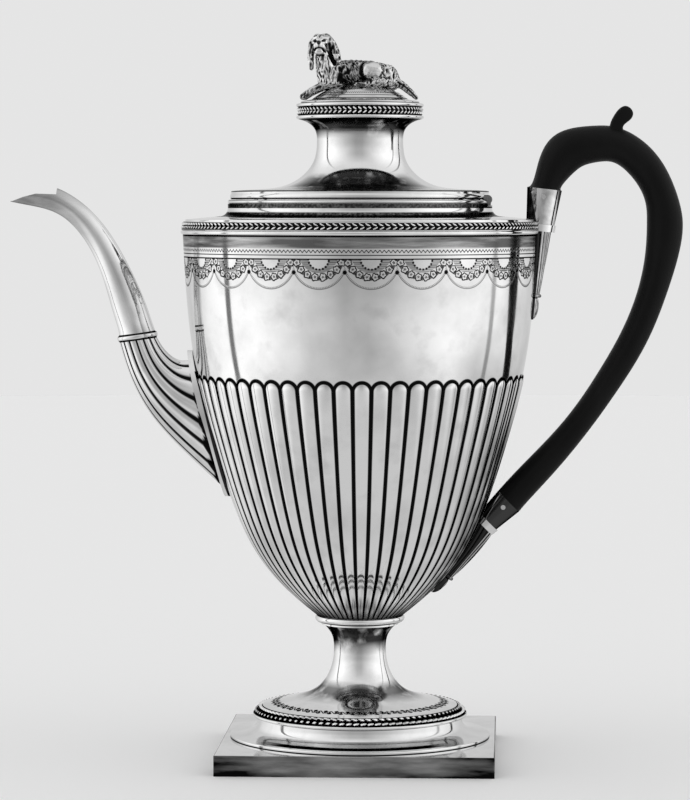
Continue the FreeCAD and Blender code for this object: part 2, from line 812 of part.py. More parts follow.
def handle():
    span = upper_joint - lower_joint
    stations = handle_stations + [(0.0, 0.0, lower_end_width / handle_end_width)]
    centres = [lower_joint + Vector(span.x * s + handle_reach * f, 0, span.z * s) for s, f, w in stations]
    path = spline(centres, (upper_axis, lower_axis * -1))
    wires = []
    for centre, (s, f, w) in zip(centres, stations):
        tangent = path.tangent(path.parameter(centre))[0]
        end_width = lower_end_width + min(s, 1.0) * (handle_end_width - lower_end_width)
        a, b = w * handle_end_width / 2, end_width / 2 * socket_depth
        wires.append(oval(centre, Vector(tangent.z, 0, -tangent.x), across, a, b))
    wood = loft(wires)
    half = Vector(0, thumb_thick / 2, 0)
    outline = [centres[thumb_station] + Vector(x, 0, z) - half for x, z in thumb_piece]
    outline = [spline(outline).toShape()] + line(outline[-1], outline[0])
    thumb = Part.Face(Part.Wire(outline)).extrude(half * 2)
    rounded = [e for e in thumb.Edges if e.BoundBox.YLength < 0.01 and e.BoundBox.XLength > thumb_thick]
    wood = wood.fuse(thumb.makeFillet(thumb_edge, rounded))
    for mount, tenon in ((upper_mount, upper_tenon), (lower_mount, lower_tenon)):
        wood = wood.fuse(sleeve(mount, 0.0, tenon, -socket_wall - tenon_clearance))
        wood = wood.cut(cross_pin(mount, pin_clearance))
    return wood


def slab(x0, x1, z0, z1, half):
    return Part.makeBox(x1 - x0, 2 * half, z1 - z0, Vector(x0, -half, z0))


def knuckle(index, web):
    # one barrel of the hinge with the web that carries it
    length = (hinge_length - (hinge_knuckles - 1) * hinge_side_gap) / hinge_knuckles
    start = -hinge_length / 2 + index * (length + hinge_side_gap)
    barrel = Part.makeCylinder(hinge_radius, length, Vector(hinge_x, start, hinge_z), across)
    x0, x1, z0, z1 = web
    return barrel.fuse(Part.makeBox(x1 - x0, length, z1 - z0, Vector(x0, start, z0)))


def hinge_bore():
    radius = hinge_pin_radius + hinge_bore_clearance
    return Part.makeCylinder(radius, 2 * hinge_length, Vector(hinge_x, -hinge_length, hinge_z), across)


def hinge_seat():
    plate_top = hinge_floor + hinge_plate
    plate = slab(mouth_bore, mouth_radius, hinge_floor, plate_top, hinge_length / 2)
    plate = plate.common(Part.makeCylinder(mouth_radius, 2 * mouth_top))
    half = hinge_radius * hinge_web
    web = (hinge_x - half, hinge_x + half, hinge_floor + hinge_plate / 2, hinge_z)
    barrels = [knuckle(i, web) for i in range(0, hinge_knuckles, 2)]
    return plate.multiFuse(barrels).cut(hinge_bore())


def hinge_leaf():
    bar_end = lid_notch_x + 2 * hinge_plate
    bar = slab(lid_notch_x, bar_end, hinge_z + hinge_clearance, cone_level, hinge_length / 2)
    web = (lid_notch_x, hinge_x, hinge_z + hinge_clearance, hinge_z + hinge_radius)
    barrels = [knuckle(i, web) for i in range(1, hinge_knuckles, 2)]
    return bar.multiFuse(barrels).cut(hinge_bore())


def hinge_pin():
    start = Vector(hinge_x, -hinge_length / 2, hinge_z)
    return Part.makeCylinder(hinge_pin_radius, hinge_length, start, across)


def lid_notch():
    return slab(lid_notch_x, 2 * mouth_radius, mouth_level, cone_level, hinge_length / 2 + hinge_clearance)


def lid_ring():
    bore = lid_ring_radius - lid_ring_depth
    bulge = lid_ring_height / 5
    low, high = at(lid_ring_radius - bulge, lid_level), at(lid_ring_radius - bulge, cone_level)
    middle = at(lid_ring_radius, lid_level + lid_ring_height / 2)
    ring = turned(
        line(at(bore, lid_level), low) + [arc(low, middle, high)]
        + line(high, at(bore, cone_level), at(bore, lid_level))
    )
    return ring.cut(lid_notch())


def lid_bezel():
    radius = mouth_bore - lid_bezel_gap
    low = lid_level - lid_bezel_drop
    tube = Part.makeCylinder(radius, lid_bezel_drop, Vector(0, 0, low))
    tube = tube.cut(Part.makeCylinder(radius - sheet, lid_bezel_drop, Vector(0, 0, low)))
    return tube.cut(lid_notch())


def lid_cone():
    # flat brim, drawn up through a waist to a small flange
    edge = lid_ring_radius - lid_ring_height / 5
    brim = edge - lid_waist_radius
    flare = lid_top_radius - lid_waist_radius
    start = cone_level + sheet
    rise = lid_cone_height - sheet
    lower = [(1.0, 0.0), (0.69, 0.025), (0.385, 0.075), (0.155, 0.23), (0.037, 0.42), (0.0, 0.665)]
    upper = [(0.13, 0.866), (0.62, 0.968), (1.0, 1.0)]
    outline = [at(lid_waist_radius + s * brim, start + h * rise) for s, h in lower]
    outline += [at(lid_waist_radius + s * flare, start + h * rise) for s, h in upper]
    hollow = inset(outline, sheet, Vector(0, 0, -1), Vector(-1, 0, 0))
    seat = at(lid_ring_radius - lid_ring_depth, cone_level)
    inner = [seat] + hollow[1:-2] + [at(lid_top_radius - 4 * sheet, band_level)]
    return turned(
        [spline(outline).toShape()] + line(outline[0], hollow[0], *inner, outline[-1])
    )


def lid_band():
    bore = lid_band_radius - lid_band_depth
    edge = lid_band_radius - lid_band_reed / 2
    proud = lid_band_radius + lid_band_reed / 2
    low, high = band_level + 2 * lid_band_reed, cap_level - 2 * lid_band_reed
    return turned(
        line(at(bore, band_level), at(edge, band_level))
        + [arc(at(edge, band_level), at(proud, band_level + lid_band_reed), at(edge, low))]
        + line(at(edge, low), at(edge, high))
        + [arc(at(edge, high), at(proud, cap_level - lid_band_reed), at(edge, cap_level))]
        + line(at(edge, cap_level), at(bore, cap_level), at(bore, band_level))
    )


def cap_dome(drop):
    # low dome, lowered by the sheet's gauge for its inner side
    shape = [(1.0, 0.2), (0.83, 0.49), (0.45, 0.87), (0.0, 1.0)]
    points = [at(s * (cap_dome_radius - drop), cap_level + h * cap_height - drop) for s, h in shape]
    return spline(points, (Vector(-1, 0, 1), Vector(-1, 0, 0)))


def cap_envelope():
    dome = cap_dome(0.0)
    edge = at(cap_radius, cap_level + cap_edge)
    return turned(
        line(at(0, cap_level), at(cap_radius, cap_level), edge, dome.StartPoint) + [dome.toShape()]
        + line(dome.EndPoint, at(0, cap_level))
    )


def cap_hollow():
    dome = cap_dome(sheet)
    foot = at(dome.StartPoint.x, cap_level)
    return turned(
        line(at(0, cap_level), foot, dome.StartPoint) + [dome.toShape()]
        + line(dome.EndPoint, at(0, cap_level))
    )


def screw_hole():
    length = cap_height + finial_screw_grip
    return Part.makeCylinder(finial_screw_radius + pin_clearance, length, Vector(0, 0, cap_level))


def lid_cap():
    return cap_envelope().cut(cap_hollow()).cut(screw_hole())


# The spaniel's masses, in hundredths of its length from the top of the cap: round-ended
# bars given by the centres of their two ends and a radius
dog_masses = [
    ((-20, 0, 8), (20, 0, 9), 11),              # trunk
    ((-27, -1, 5), (-27, -2, 22), 11.3),        # chest
    ((-30, -4, 31), (-30, -4.4, 33), 9.6),      # head
    ((-31.5, -8, 30), (-32, -15, 28.5), 4.6),   # muzzle
    ((-37.5, -3.5, 33), (-40, -3.5, 16), 3.6),  # near ear
    ((-22, -3, 34), (-18.2, -3, 21), 3.6),      # far ear
    ((12, -4, 8.6), (15, -4, 10.2), 11.2),      # haunches
    ((12, 4, 8.6), (15, 4, 10.2), 11.2),
    ((23, 0, 6), (24, 0, 10), 11.6),            # rump
    ((-4, -12, 0), (9, -12, 0.3), 4),           # hind paws
    ((-4, 12, 0), (9, 12, 0.3), 4),
    ((-47, -6, -9), (-29, -6, 4.5), 4.2),       # forelegs
    ((-46, 6.5, -8), (-29, 6.5, 4.5), 4.2),
    ((27, -2.5, 4), (46, -2.5, -10.5), 3.2),    # tail
]


def round_bar(start, end, radius):
    length = (end - start).Length
    bend = radius * math.sqrt(0.5)
    low, high = at(radius, 0), at(radius, length)
    tail, nose = at(0, -radius), at(0, length + radius)
    ends = [arc(tail, at(bend, -bend), low), arc(high, at(bend, length + bend), nose)]
    body = turned(ends + line(low, high) + line(nose, tail))
    body.Placement = Placement(start, Rotation(up, end - start))
    return body


def dog_finial():
    unit = dog_length / 100
    foot = at(0, cap_top)
    masses = []
    for start, end, radius in dog_masses:
        masses.append(round_bar(Vector(*start) * unit + foot, Vector(*end) * unit + foot, radius * unit))
    dog = masses[0]
    for mass in masses[1:]:
        dog = dog.fuse(mass)
    return dog.cut(cap_envelope()).cut(screw_hole())


def finial_nut():
    low = cap_top - sheet - finial_nut_height
    nut = Part.makeCylinder(finial_nut_radius, cap_height, Vector(0, 0, low))
    return nut.common(cap_hollow()).cut(screw_hole())


def finial_screw():
    top = cap_top + finial_screw_grip - pin_clearance
    low = cap_top - sheet - 2 * finial_nut_height
    return Part.makeCylinder(finial_screw_radius, top - low, Vector(0, 0, low))


pieces = [
    plinth_sides, plinth_top, foot_base, foot_wire, foot_stem, stem_collar,
    body_bowl, body_drum, rim_reed, rim_wire, shoulder, mouth_ring,
    spout_seat, spout_root, spout_band, spout_neck,
    handle, upper_socket, upper_collar, upper_drop, upper_pin,
    lower_socket, lower_collar, lower_drop, lower_pin,
    hinge_seat, hinge_leaf, hinge_pin, lid_ring, lid_bezel, lid_cone, lid_band, lid_cap,
    dog_finial, finial_screw, finial_nut,
]
for piece in pieces:
    shape = piece()
    print(piece.__name__, shape.isValid(), len(shape.Solids), round(shape.Volume, 2))
    shape.exportStep("parts/%s.step" % piece.__name__)
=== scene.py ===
import math
import bmesh
import bpy
import numpy as np
from mathutils import Matrix, Vector, noise


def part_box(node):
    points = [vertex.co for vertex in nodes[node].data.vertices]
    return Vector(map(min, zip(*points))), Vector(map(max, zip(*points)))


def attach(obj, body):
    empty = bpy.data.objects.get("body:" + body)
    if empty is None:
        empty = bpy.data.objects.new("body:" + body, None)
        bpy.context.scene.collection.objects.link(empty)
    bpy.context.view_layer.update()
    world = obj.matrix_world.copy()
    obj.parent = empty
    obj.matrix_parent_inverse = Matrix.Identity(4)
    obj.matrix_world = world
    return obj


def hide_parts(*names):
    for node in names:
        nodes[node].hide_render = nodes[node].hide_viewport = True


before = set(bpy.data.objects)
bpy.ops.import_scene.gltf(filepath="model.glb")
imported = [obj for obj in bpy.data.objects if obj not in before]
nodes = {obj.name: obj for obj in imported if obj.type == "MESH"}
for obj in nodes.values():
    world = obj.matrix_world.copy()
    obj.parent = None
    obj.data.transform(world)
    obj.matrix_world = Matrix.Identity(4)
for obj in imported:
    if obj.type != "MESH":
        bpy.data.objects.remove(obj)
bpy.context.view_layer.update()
mm = 0.001
fullTurn = 2 * math.pi


def low(node):
    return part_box(node)[0].z / mm


def high(node):
    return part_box(node)[1].z / mm


class Field:
    # a value in a node tree that can be reckoned with

    def __init__(self, tree, socket):
        self.tree = tree
        self.socket = socket

    def run(self, operation, *others, clamp=False):
        node = self.tree.nodes.new("ShaderNodeMath")
        node.operation = operation
        node.use_clamp = clamp
        for slot, value in zip(node.inputs, (self,) + others):
            if isinstance(value, Field):
                self.tree.links.new(value.socket, slot)
            else:
                slot.default_value = value
        return Field(self.tree, node.outputs[0])

    def __add__(self, other):
        return self.run("ADD", other)

    def __sub__(self, other):
        return self.run("SUBTRACT", other)

    def __mul__(self, other):
        return self.run("MULTIPLY", other)

    def __truediv__(self, other):
        return self.run("DIVIDE", other)

    def size(self):
        return self.run("ABSOLUTE")

    def clamped(self):
        return self.run("MULTIPLY", 1.0, clamp=True)

    def inverse(self):
        return self * -1 + 1

    def band(self, middle, half, soft):
        # 1 within half of middle, fading to 0 over soft
        return ((self - middle).size() * (-1 / soft) + (half + soft) / soft).clamped()

    def above(self, level, soft):
        # 0 below the level, rising to 1 over soft
        return ((self - level) / soft).clamped()

    def within(self, level, soft):
        # 1 below the level, falling to 0 over soft
        return self.above(level, soft).inverse()

    def both(self, other):
        return self.run("MULTIPLY", other)

    def either(self, *others):
        field = self
        for other in others:
            field = field.run("MAXIMUM", other)
        return field

    def wave(self, period):
        return (self * (fullTurn / period)).run("SINE")

    def cell(self, pitch):
        # distance from the middle of the repeat that a place is in
        return ((self / pitch).run("FRACT") - 0.5) * pitch

    def reach(self, other):
        # distance from the origin of two measures at right angles
        return (self * self + other * other).run("SQRT")

    def angle(self, other):
        return self.run("ARCTAN2", other)


def newMaterial(name, base, metal, rough):
    mat = bpy.data.materials.new(name)
    mat.use_nodes = True
    shader = mat.node_tree.nodes["Principled BSDF"]
    shader.inputs["Base Color"].default_value = (base, base, base, 1)
    shader.inputs["Metallic"].default_value = metal
    shader.inputs["Roughness"].default_value = rough
    return mat, mat.node_tree, shader


def objectPoint(tree):
    return tree.nodes.new("ShaderNodeTexCoord").outputs["Object"]


def axes(tree, point):
    split = tree.nodes.new("ShaderNodeSeparateXYZ")
    tree.links.new(point, split.inputs[0])
    return [Field(tree, out) for out in split.outputs]


def noiseField(tree, point, scale, detail=2.0, stretch=None):
    if stretch:
        scaled = tree.nodes.new("ShaderNodeMapping")
        scaled.inputs["Scale"].default_value = stretch
        tree.links.new(point, scaled.inputs["Vector"])
        point = scaled.outputs[0]
    texture = tree.nodes.new("ShaderNodeTexNoise")
    texture.inputs["Scale"].default_value = scale
    texture.inputs["Detail"].default_value = detail
    tree.links.new(point, texture.inputs["Vector"])
    return Field(tree, texture.outputs["Fac"])


def blendColour(tree, share, first, second):
    mix = tree.nodes.new("ShaderNodeMix")
    mix.data_type = "RGBA"
    tree.links.new(share.socket, mix.inputs["Factor"])
    for name, value in (("A", first), ("B", second)):
        slot = [s for s in mix.inputs if s.name == name and s.type == "RGBA"][0]
        slot.default_value = (value, value, value, 1)
    return Field(tree, [s for s in mix.outputs if s.type == "RGBA"][0])


def bump(tree, shader, height, distance, strength=1.0):
    node = tree.nodes.new("ShaderNodeBump")
    node.inputs["Strength"].default_value = strength
    node.inputs["Distance"].default_value = distance
    tree.links.new(height.socket, node.inputs["Height"])
    tree.links.new(node.outputs[0], shader.inputs["Normal"])


# silver and wood

silver = dict(
    # tarnish is the dark tone of every mark: real tarnish and engraving, and painted shade and painted
    # reflections on some pieces
    base=0.86, tarnishAndShade=0.006, rough=0.055, cloud=0.4,
    smudges=(38.0, 4.0), spots=(260.0, 2.0), clouds=(85.0, 5.0), waves=(24.0, 1.0),  # noise scale and detail
    smudgeFrom=0.44, cloudFrom=0.5, soft=0.5,
    smudgeRough=0.06, spotRough=0.04, markRough=0.15, sunk=0.6, depth=0.00003,
)


def silverGroup():
    # smudges, clouds of tarnish and faint waves in the sheet, round the marks of each piece
    tree = bpy.data.node_groups.new("silver_finish", "ShaderNodeTree")
    numbers = ("Marks", "Cloud", "Ground", "Polish")
    tree.interface.new_socket("Point", in_out="INPUT", socket_type="NodeSocketVector")
    for name in numbers:
        tree.interface.new_socket(name, in_out="INPUT", socket_type="NodeSocketFloat")
    for name, kind in (("Colour", "Color"), ("Roughness", "Float"), ("Height", "Float")):
        tree.interface.new_socket(name, in_out="OUTPUT", socket_type="NodeSocket" + kind)
    given = tree.nodes.new("NodeGroupInput").outputs
    marks, cloud, ground, polish = [Field(tree, given[name]) for name in numbers]
    smudge, spots, cloudy, waves = [
        noiseField(tree, given["Point"], *silver[name]) for name in ("smudges", "spots", "clouds", "waves")
    ]
    dull = smudge.above(silver["smudgeFrom"], silver["soft"])
    dull = dull.either(cloudy.above(silver["cloudFrom"], silver["soft"]))
    dark = (dull * cloud + ground).either(marks)
    roughness = smudge * silver["smudgeRough"] + spots * silver["spotRough"] + polish - silver["spotRough"]
    results = dict(
        Colour=blendColour(tree, dark, silver["base"], silver["tarnishAndShade"]),
        Roughness=roughness + dark * silver["markRough"],
        Height=waves - dark * silver["sunk"],
    )
    end = tree.nodes.new("NodeGroupOutput")
    for name, field in results.items():
        tree.links.new(field.socket, end.inputs[name])
    return tree


silverFinish = silverGroup()


def silverMaterial(name, marks=None, attribute=None, rough=silver["rough"], cloud=silver["cloud"], ground=0):
    # polished silver with smudges, dark in its marks and grooves: worn dark, and on some pieces painted shade
    # and painted reflections
    mat, tree, shader = newMaterial(name, silver["base"], 1.0, rough)
    point = objectPoint(tree)
    finish = tree.nodes.new("ShaderNodeGroup")
    finish.node_tree = silverFinish
    tree.links.new(point, finish.inputs["Point"])
    for slot, value in (("Cloud", cloud), ("Ground", ground), ("Polish", rough)):
        finish.inputs[slot].default_value = value
    worn = marks(tree, point) if marks else None
    if attribute:
        groove = tree.nodes.new("ShaderNodeAttribute")
        groove.attribute_name = attribute
        chased = Field(tree, groove.outputs["Fac"])
        worn = worn.either(chased) if worn else chased
    shader.inputs["Specular Tint"].default_value = shader.inputs["Base Color"].default_value
    if worn:
        tree.links.new(worn.socket, finish.inputs["Marks"])
        edgeOn = blendColour(tree, worn, silver["base"], silver["tarnishAndShade"])
        tree.links.new(edgeOn.socket, shader.inputs["Specular Tint"])  # marks stay dark seen edge on
    tree.links.new(finish.outputs["Colour"], shader.inputs["Base Color"])
    tree.links.new(finish.outputs["Roughness"], shader.inputs["Roughness"])
    bump(tree, shader, Field(tree, finish.outputs["Height"]), silver["depth"])
    return mat


wood = dict(
    base=0.002, worn=0.012, rough=0.4, gloss=0.14,
    grain=(60.0, 6.0, (1.0, 6.0, 0.35)), pores=(420.0, 3.0, (1.0, 3.0, 0.16)), rubbed=(22.0, 3.0),
    depth=0.00012, strength=0.6,
)


def woodMaterial(name):
    # ebonised wood: fine grain that runs along the handle, rubbed a little grey
    mat, tree, shader = newMaterial(name, wood["base"], 0.0, wood["rough"])
    point = objectPoint(tree)
    grain, pores, rubbed = [noiseField(tree, point, *wood[kind]) for kind in ("grain", "pores", "rubbed")]
    tone = (grain * grain * 0.9 + rubbed * 0.4 - 0.35).clamped()
    colour = blendColour(tree, tone, wood["base"], wood["worn"])
    tree.links.new(colour.socket, shader.inputs["Base Color"])
    tree.links.new((grain * 0.22 + rubbed * 0.14 + wood["rough"] - 0.12).socket, shader.inputs["Roughness"])
    bump(tree, shader, pores + grain * 0.5, wood["depth"], wood["strength"])
    shader.inputs["Specular IOR Level"].default_value = wood["gloss"]
    return mat


def smoothLine(points, count):
    # natural cubic through the points, stepped evenly along it
    pts = np.array(points, float)
    steps = np.linalg.norm(np.diff(pts, axis=0), axis=1)
    t = np.concatenate([[0], np.cumsum(steps)])
    last = len(t) - 1
    matrix = np.eye(last + 1)
    right = np.zeros_like(pts)
    for i in range(1, last):
        matrix[i, i - 1:i + 2] = steps[i - 1], 2 * (steps[i - 1] + steps[i]), steps[i]
        right[i] = 6 * ((pts[i + 1] - pts[i]) / steps[i] - (pts[i] - pts[i - 1]) / steps[i - 1])
    bend = np.linalg.solve(matrix, right)
    s = np.linspace(0, t[-1], count)
    k = np.clip(np.searchsorted(t, s) - 1, 0, last - 1)
    h = steps[k][:, None]
    a, b = (t[k + 1] - s)[:, None], (s - t[k])[:, None]
    line = bend[k] * a ** 3 / (6 * h) + bend[k + 1] * b ** 3 / (6 * h)
    line += (pts[k] / h - bend[k] * h / 6) * a + (pts[k + 1] / h - bend[k + 1] * h / 6) * b
    return [tuple(p) for p in line]


# sizes that several pieces share, in mm

sheet = 1.2
body = dict(
    footRadius=20.2, rimRadius=81.4, height=175.2, flutes=56, rise=0.12, land=0.25, margin=1.8, drumWall=1.0,
    shape=[(0.0, 0.0), (0.066, 0.217), (0.184, 0.477), (0.289, 0.611), (0.46, 0.768),
           (0.617, 0.886), (0.7, 0.93), (0.828, 0.971), (1.0, 1.0)],
)
bodySide = smoothLine([
    (body["footRadius"] + s * (body["rimRadius"] - body["footRadius"]), low("body_bowl") + h * body["height"])
    for h, s in body["shape"]
], 600)
bodyRadii, bodyLevels = zip(*bodySide)


def bodyRadius(level):
    return float(np.interp(level, bodyLevels, bodyRadii))


flutePitch = fullTurn / body["flutes"]
fluteHalf = flutePitch / 2 - math.radians(body["land"]) / 2
fluteHead = high("body_bowl") - body["margin"]
fluteSpring = fluteHead - fluteHalf * bodyRadius(fluteHead)
spout = dict(
    root=154.0, tall=61.6, wide=30.0, slope=103.8, reach=32.4, climb=38.8, joint=17.4, lean=8.0, band=2.5,
    reeds=16, rise=0.05,
    top=[(0.0, 0.0), (0.33, -0.06), (0.645, 0.21), (0.85, 0.585), (1.0, 1.0)],
    keel=[(0.0, 0.0), (0.382, 0.253), (0.67, 0.478), (0.89, 0.757), (1.0, 1.0)],
)
spoutFoot = (-bodyRadius(spout["root"]) * (1 + body["rise"] * flutePitch), spout["root"])
spoutJoint = (spoutFoot[0] - spout["reach"], spoutFoot[1] + spout["climb"])


# engraving, tarnish and painted shade, in mm


def polar(tree, point):
    # angle round the axis, distance from it and height
    x, y, z = axes(tree, point)
    return y.angle(x), x.reach(y) / mm, z / mm


def facing(around, start, gain):
    # 1 at the front and back, fading towards the spout and handle; it keeps the painted shade on the foot and
    # lid to the front and back
    return ((around.run("SINE").size() - start) * gain).clamped()


engraved = dict(  # sizes, and heights from the drum's top edge
    festoons=22, turn=0.634, radius=80.6, lowest=-25.2, fine=0.14, broad=0.22, soft=0.14,
    wriggle=-6.8, waves=260, swing=0.45, ruled=-8.5, top=-10.2,
    disc=4.3, beads=9.5, beadOut=0.3, bead=0.42, hatch=0.85, streaks=(300.0, 3.0, (0.25, 0.25, 2.4)),
    garland=-7.2, sweep=11.0, half=1.9, flower=3.6, petals=5, petal=1.55, lobe=0.18, heart=0.5,
    ragged=(700.0, 1.0), leaf=0.8, leafOut=0.5,
    scallop=-11.0, reach=12.4, ropeIn=0.45, rope=0.36, twist=0.06, cusp=-16.0, dot=0.85,
    # dull and the noise after it set the painted shade under the rim
    dull=-6.0, rimShadeNoise=(90.0, 5.0, (0.3, 0.3, 3.0)), seam=-0.9,
)


def drumMarks(tree, point):
    # border of flower festoons with half discs, under ruled lines and a wriggled one, and painted shade under
    # the rim
    cut = engraved
    around, radius, height = polar(tree, point)
    level = height - high("body_drum")
    pitch = fullTurn / cut["festoons"]
    across = (around + cut["turn"] * pitch).cell(pitch) * cut["radius"]
    under = level.within(cut["top"], 0.05)
    wriggle = level - around.wave(fullTurn / cut["waves"]) * cut["swing"]
    wriggle = wriggle.band(cut["wriggle"], cut["broad"], cut["soft"])
    ruled = level.band(cut["ruled"], cut["fine"], cut["soft"])
    ruled = ruled.either(level.band(cut["top"], cut["broad"], cut["soft"]))
    disc = across.reach(level - cut["top"])
    beads = across.angle(level - cut["top"]).wave(math.pi / cut["beads"]).above(-0.5, 0.3)
    edge = disc.band(cut["disc"] + cut["beadOut"], cut["bead"], 0.15).both(beads).both(under)
    drop = (level - cut["garland"]) * -1
    out = across.reach(drop) - cut["sweep"]
    streak = noiseField(tree, point, *cut["streaks"])
    hatch = (height.wave(cut["hatch"]) * 0.25 + streak * 0.9 + 0.12).clamped()
    field = out.within(-2.0, 0.3).both(under).both(disc.above(cut["disc"], 0.15)).both(hatch)
    along = (across.angle(drop) * cut["sweep"]).cell(cut["flower"])
    lobes = along.angle(out).wave(fullTurn / cut["petals"]) * cut["lobe"]
    rose = along.reach(out) + lobes + (noiseField(tree, point, *cut["ragged"]) - 0.5) * 0.7
    flower = rose.band(cut["petal"], 0.2, 0.2).either(rose.within(cut["heart"], 0.2) * 0.8)
    leaf = (along.size() - cut["flower"] / 2).reach(out - cut["leafOut"]).within(cut["leaf"], 0.2) * 0.8
    garland = flower.either(leaf).both(out.band(0.0, cut["half"], 0.2)).both(under)
    hang = level - cut["scallop"]
    scallop = across.reach(hang) - cut["reach"]
    twist = across.angle(hang).wave(cut["twist"]) * 0.3 + 0.4
    rope = scallop.band(-cut["ropeIn"], cut["rope"], 0.12).both(twist)
    line = scallop.band(0.0, cut["fine"], cut["soft"]) * 0.7
    scallop = line.either(rope).both(hang.within(0.0, 0.1))
    dot = (across.size() - cut["radius"] * pitch / 2).reach(level - cut["cusp"]).within(cut["dot"], 0.3)
    # painted shade under the rim, mottled by noise and made rougher
    worn = noiseField(tree, point, *cut["rimShadeNoise"]).above(0.15, 0.45)
    dull = level.above(cut["dull"], 0.8).both(worn) * 0.85
    marks = field.either(edge, garland, scallop, dot, wriggle, ruled).both(level.above(cut["lowest"], 0.1))
    return marks.either(dull, level.above(cut["seam"], 0.25))


wreath = dict(  # sizes, and heights from the foot of the stem
    sprigs=46, radius=39.0, half=2.6, highest=6.0, vine=0.36, bend=1.2, period=5.3,
    buds=((-1.3, 1.3), (1.3, -1.2)), bud=0.85, leafAt=2.2, leaf=0.8,
    worn=(140.0, 5.0, (1.0, 1.0, 0.7)), throat=23.5, dome=8.0,
)


def stemMarks(tree, point):
    # sprigs in a wreath on the dome of the foot, and darker towards the top of the stem and in a band on the
    # dome, mottled by noise
    around, radius, height = polar(tree, point)
    level = height - low("foot_stem")
    side = around.cell(fullTurn / wreath["sprigs"]) * wreath["radius"]
    out = radius - wreath["radius"]
    marks = (out - side.wave(wreath["period"]) * wreath["bend"]).band(0.0, wreath["vine"], 0.2)
    marks = marks.either((side.size() - wreath["leafAt"]).reach(out - 0.2).band(wreath["leaf"], 0.3, 0.18))
    for sideways, outwards in wreath["buds"]:
        marks = marks.either((side - sideways).reach(out - outwards).within(wreath["bud"], 0.25))
    marks = marks.both(out.band(0.0, wreath["half"], 0.1)).both(level.within(wreath["highest"], 1.0))
    worn = noiseField(tree, point, *wreath["worn"]).above(0.24, 0.28)
    dull = level.above(wreath["throat"], 7.0).either(level.band(wreath["dome"], 1.2, 3.5) * 0.75)
    return marks.either(dull.both(worn) * 0.95)


recess = dict(
    rings=((low("mouth_ring") + 4.7, 0.9, 0.97), (low("lid_ring") + 0.05, 0.5, 1.0),
           (high("lid_ring") + 1.15, 0.25, 1.0)),  # height, half width, depth
    cove=(low("mouth_ring") + 0.5, 1.2), coveOut=66.0, inner=52.0, speckle=(900.0, 2.0),
)


def ringMarks(tree, point):
    # tarnish left in the recesses of the mouth and lid
    around, radius, level = polar(tree, point)
    speckle = noiseField(tree, point, *recess["speckle"]).above(0.3, 0.3) * 0.16 + 0.84
    dark = level.band(*recess["cove"], 0.5).both(radius.within(recess["coveOut"], 1.0)) * 0.98
    for middle, half, depth in recess["rings"]:
        dark = dark.either(level.band(middle, half, 0.2) * depth)
    return dark.both(speckle).both(radius.above(recess["inner"], 1.0))


lidCuts = dict(
    wriggle=56.3, waves=200, swing=0.45, ruled=55.2,  # radii
    skirt=5.2, neck=-9.5, seam=-1.4, worn=(120.0, 5.0),  # heights from the lid's foot, then from its top
)


def lidMarks(tree, point):
    # two lines near the lid's edge, and painted shade on its skirt at the front and back and under its border
    around, radius, height = polar(tree, point)
    level, fromTop = height - low("lid_cone"), height - high("lid_cone")
    wriggle = radius - around.wave(fullTurn / lidCuts["waves"]) * lidCuts["swing"]
    lines = wriggle.band(lidCuts["wriggle"], 0.14, 0.15)
    lines = lines.either(radius.band(lidCuts["ruled"], 0.12, 0.12), fromTop.above(lidCuts["seam"], 0.8))
    worn = noiseField(tree, point, *lidCuts["worn"]).above(0.24, 0.26)
    # painted shade: a band on the skirt, front and back only, and the top under the border, mottled by noise
    skirt = level.band(lidCuts["skirt"], 1.8, 2.5).both(facing(around, 0.45, 3)) * 0.82
    dull = fromTop.above(lidCuts["neck"], 5.0).either(skirt).both(worn) * 0.94
    return lines.either(dull, ringMarks(tree, point))


capCuts = dict(
    wriggle=4.7, waves=120, swing=0.22,
    lines=((3.6, 0.1, 0.1), (2.2, 0.14, 0.14), (0.0, 0.3, 0.2)),  # height, half width, edge
)


def capMarks(tree, point):
    # rings round the finial
    around, radius, height = polar(tree, point)
    level = height - low("lid_cap")
    wriggle = level - around.wave(fullTurn / capCuts["waves"]) * capCuts["swing"]
    marks = wriggle.band(capCuts["wriggle"], 0.1, 0.12)
    return marks.either(*[level.band(*line) for line in capCuts["lines"]]) * 0.92


strainer = dict(hole=2.0, pitch=6.5, rows=((-1, 2), (0, 3), (1, 2)))  # rows and their holes


def strainerMarks(tree, point):
    # holes of the strainer behind the spout, painted as dark discs for the shade inside them
    x, y, z = axes(tree, point)
    holes = []
    for row, count in strainer["rows"]:
        level = spout["root"] + row * strainer["pitch"] * math.cos(math.pi / 6)
        for column in range(count):
            side = (column - (count - 1) / 2) * strainer["pitch"]
            holes.append((y / mm - side).reach(z / mm - level).within(strainer["hole"], 0.1))
    return holes[0].either(*holes[1:]).both(x.above(0.0, -mm))


footCuts = dict(edge=58.0, cove=(55.8, 1.9), facing=(0.62, 5), ledge=1.15)


def footMarks(tree, point):
    # tarnish where the foot meets the plinth, and painted shadow under its border at the front and back
    around, radius, level = polar(tree, point)
    seam = level.band(low("foot_base"), 0.25, 0.2).both(radius.above(footCuts["edge"], 1.0))
    # painted shadow in the cove under the border, kept to the front and back
    cove = radius.band(*footCuts["cove"], 0.5).both(facing(around, *footCuts["facing"])) * 0.97
    collar = low("stem_collar") + footCuts["ledge"]
    rings = [level.band(z, 0.3, 0.25) for z in (high("foot_base") - 0.1, collar, high("stem_collar"))]
    return seam.either(cove, *rings)


spoutCuts = dict(line=0.36, seat=1.2, lip=-120.0, lipFade=-26.0, worn=(160.0, 5.0, (0.5, 1.0, 1.6)))


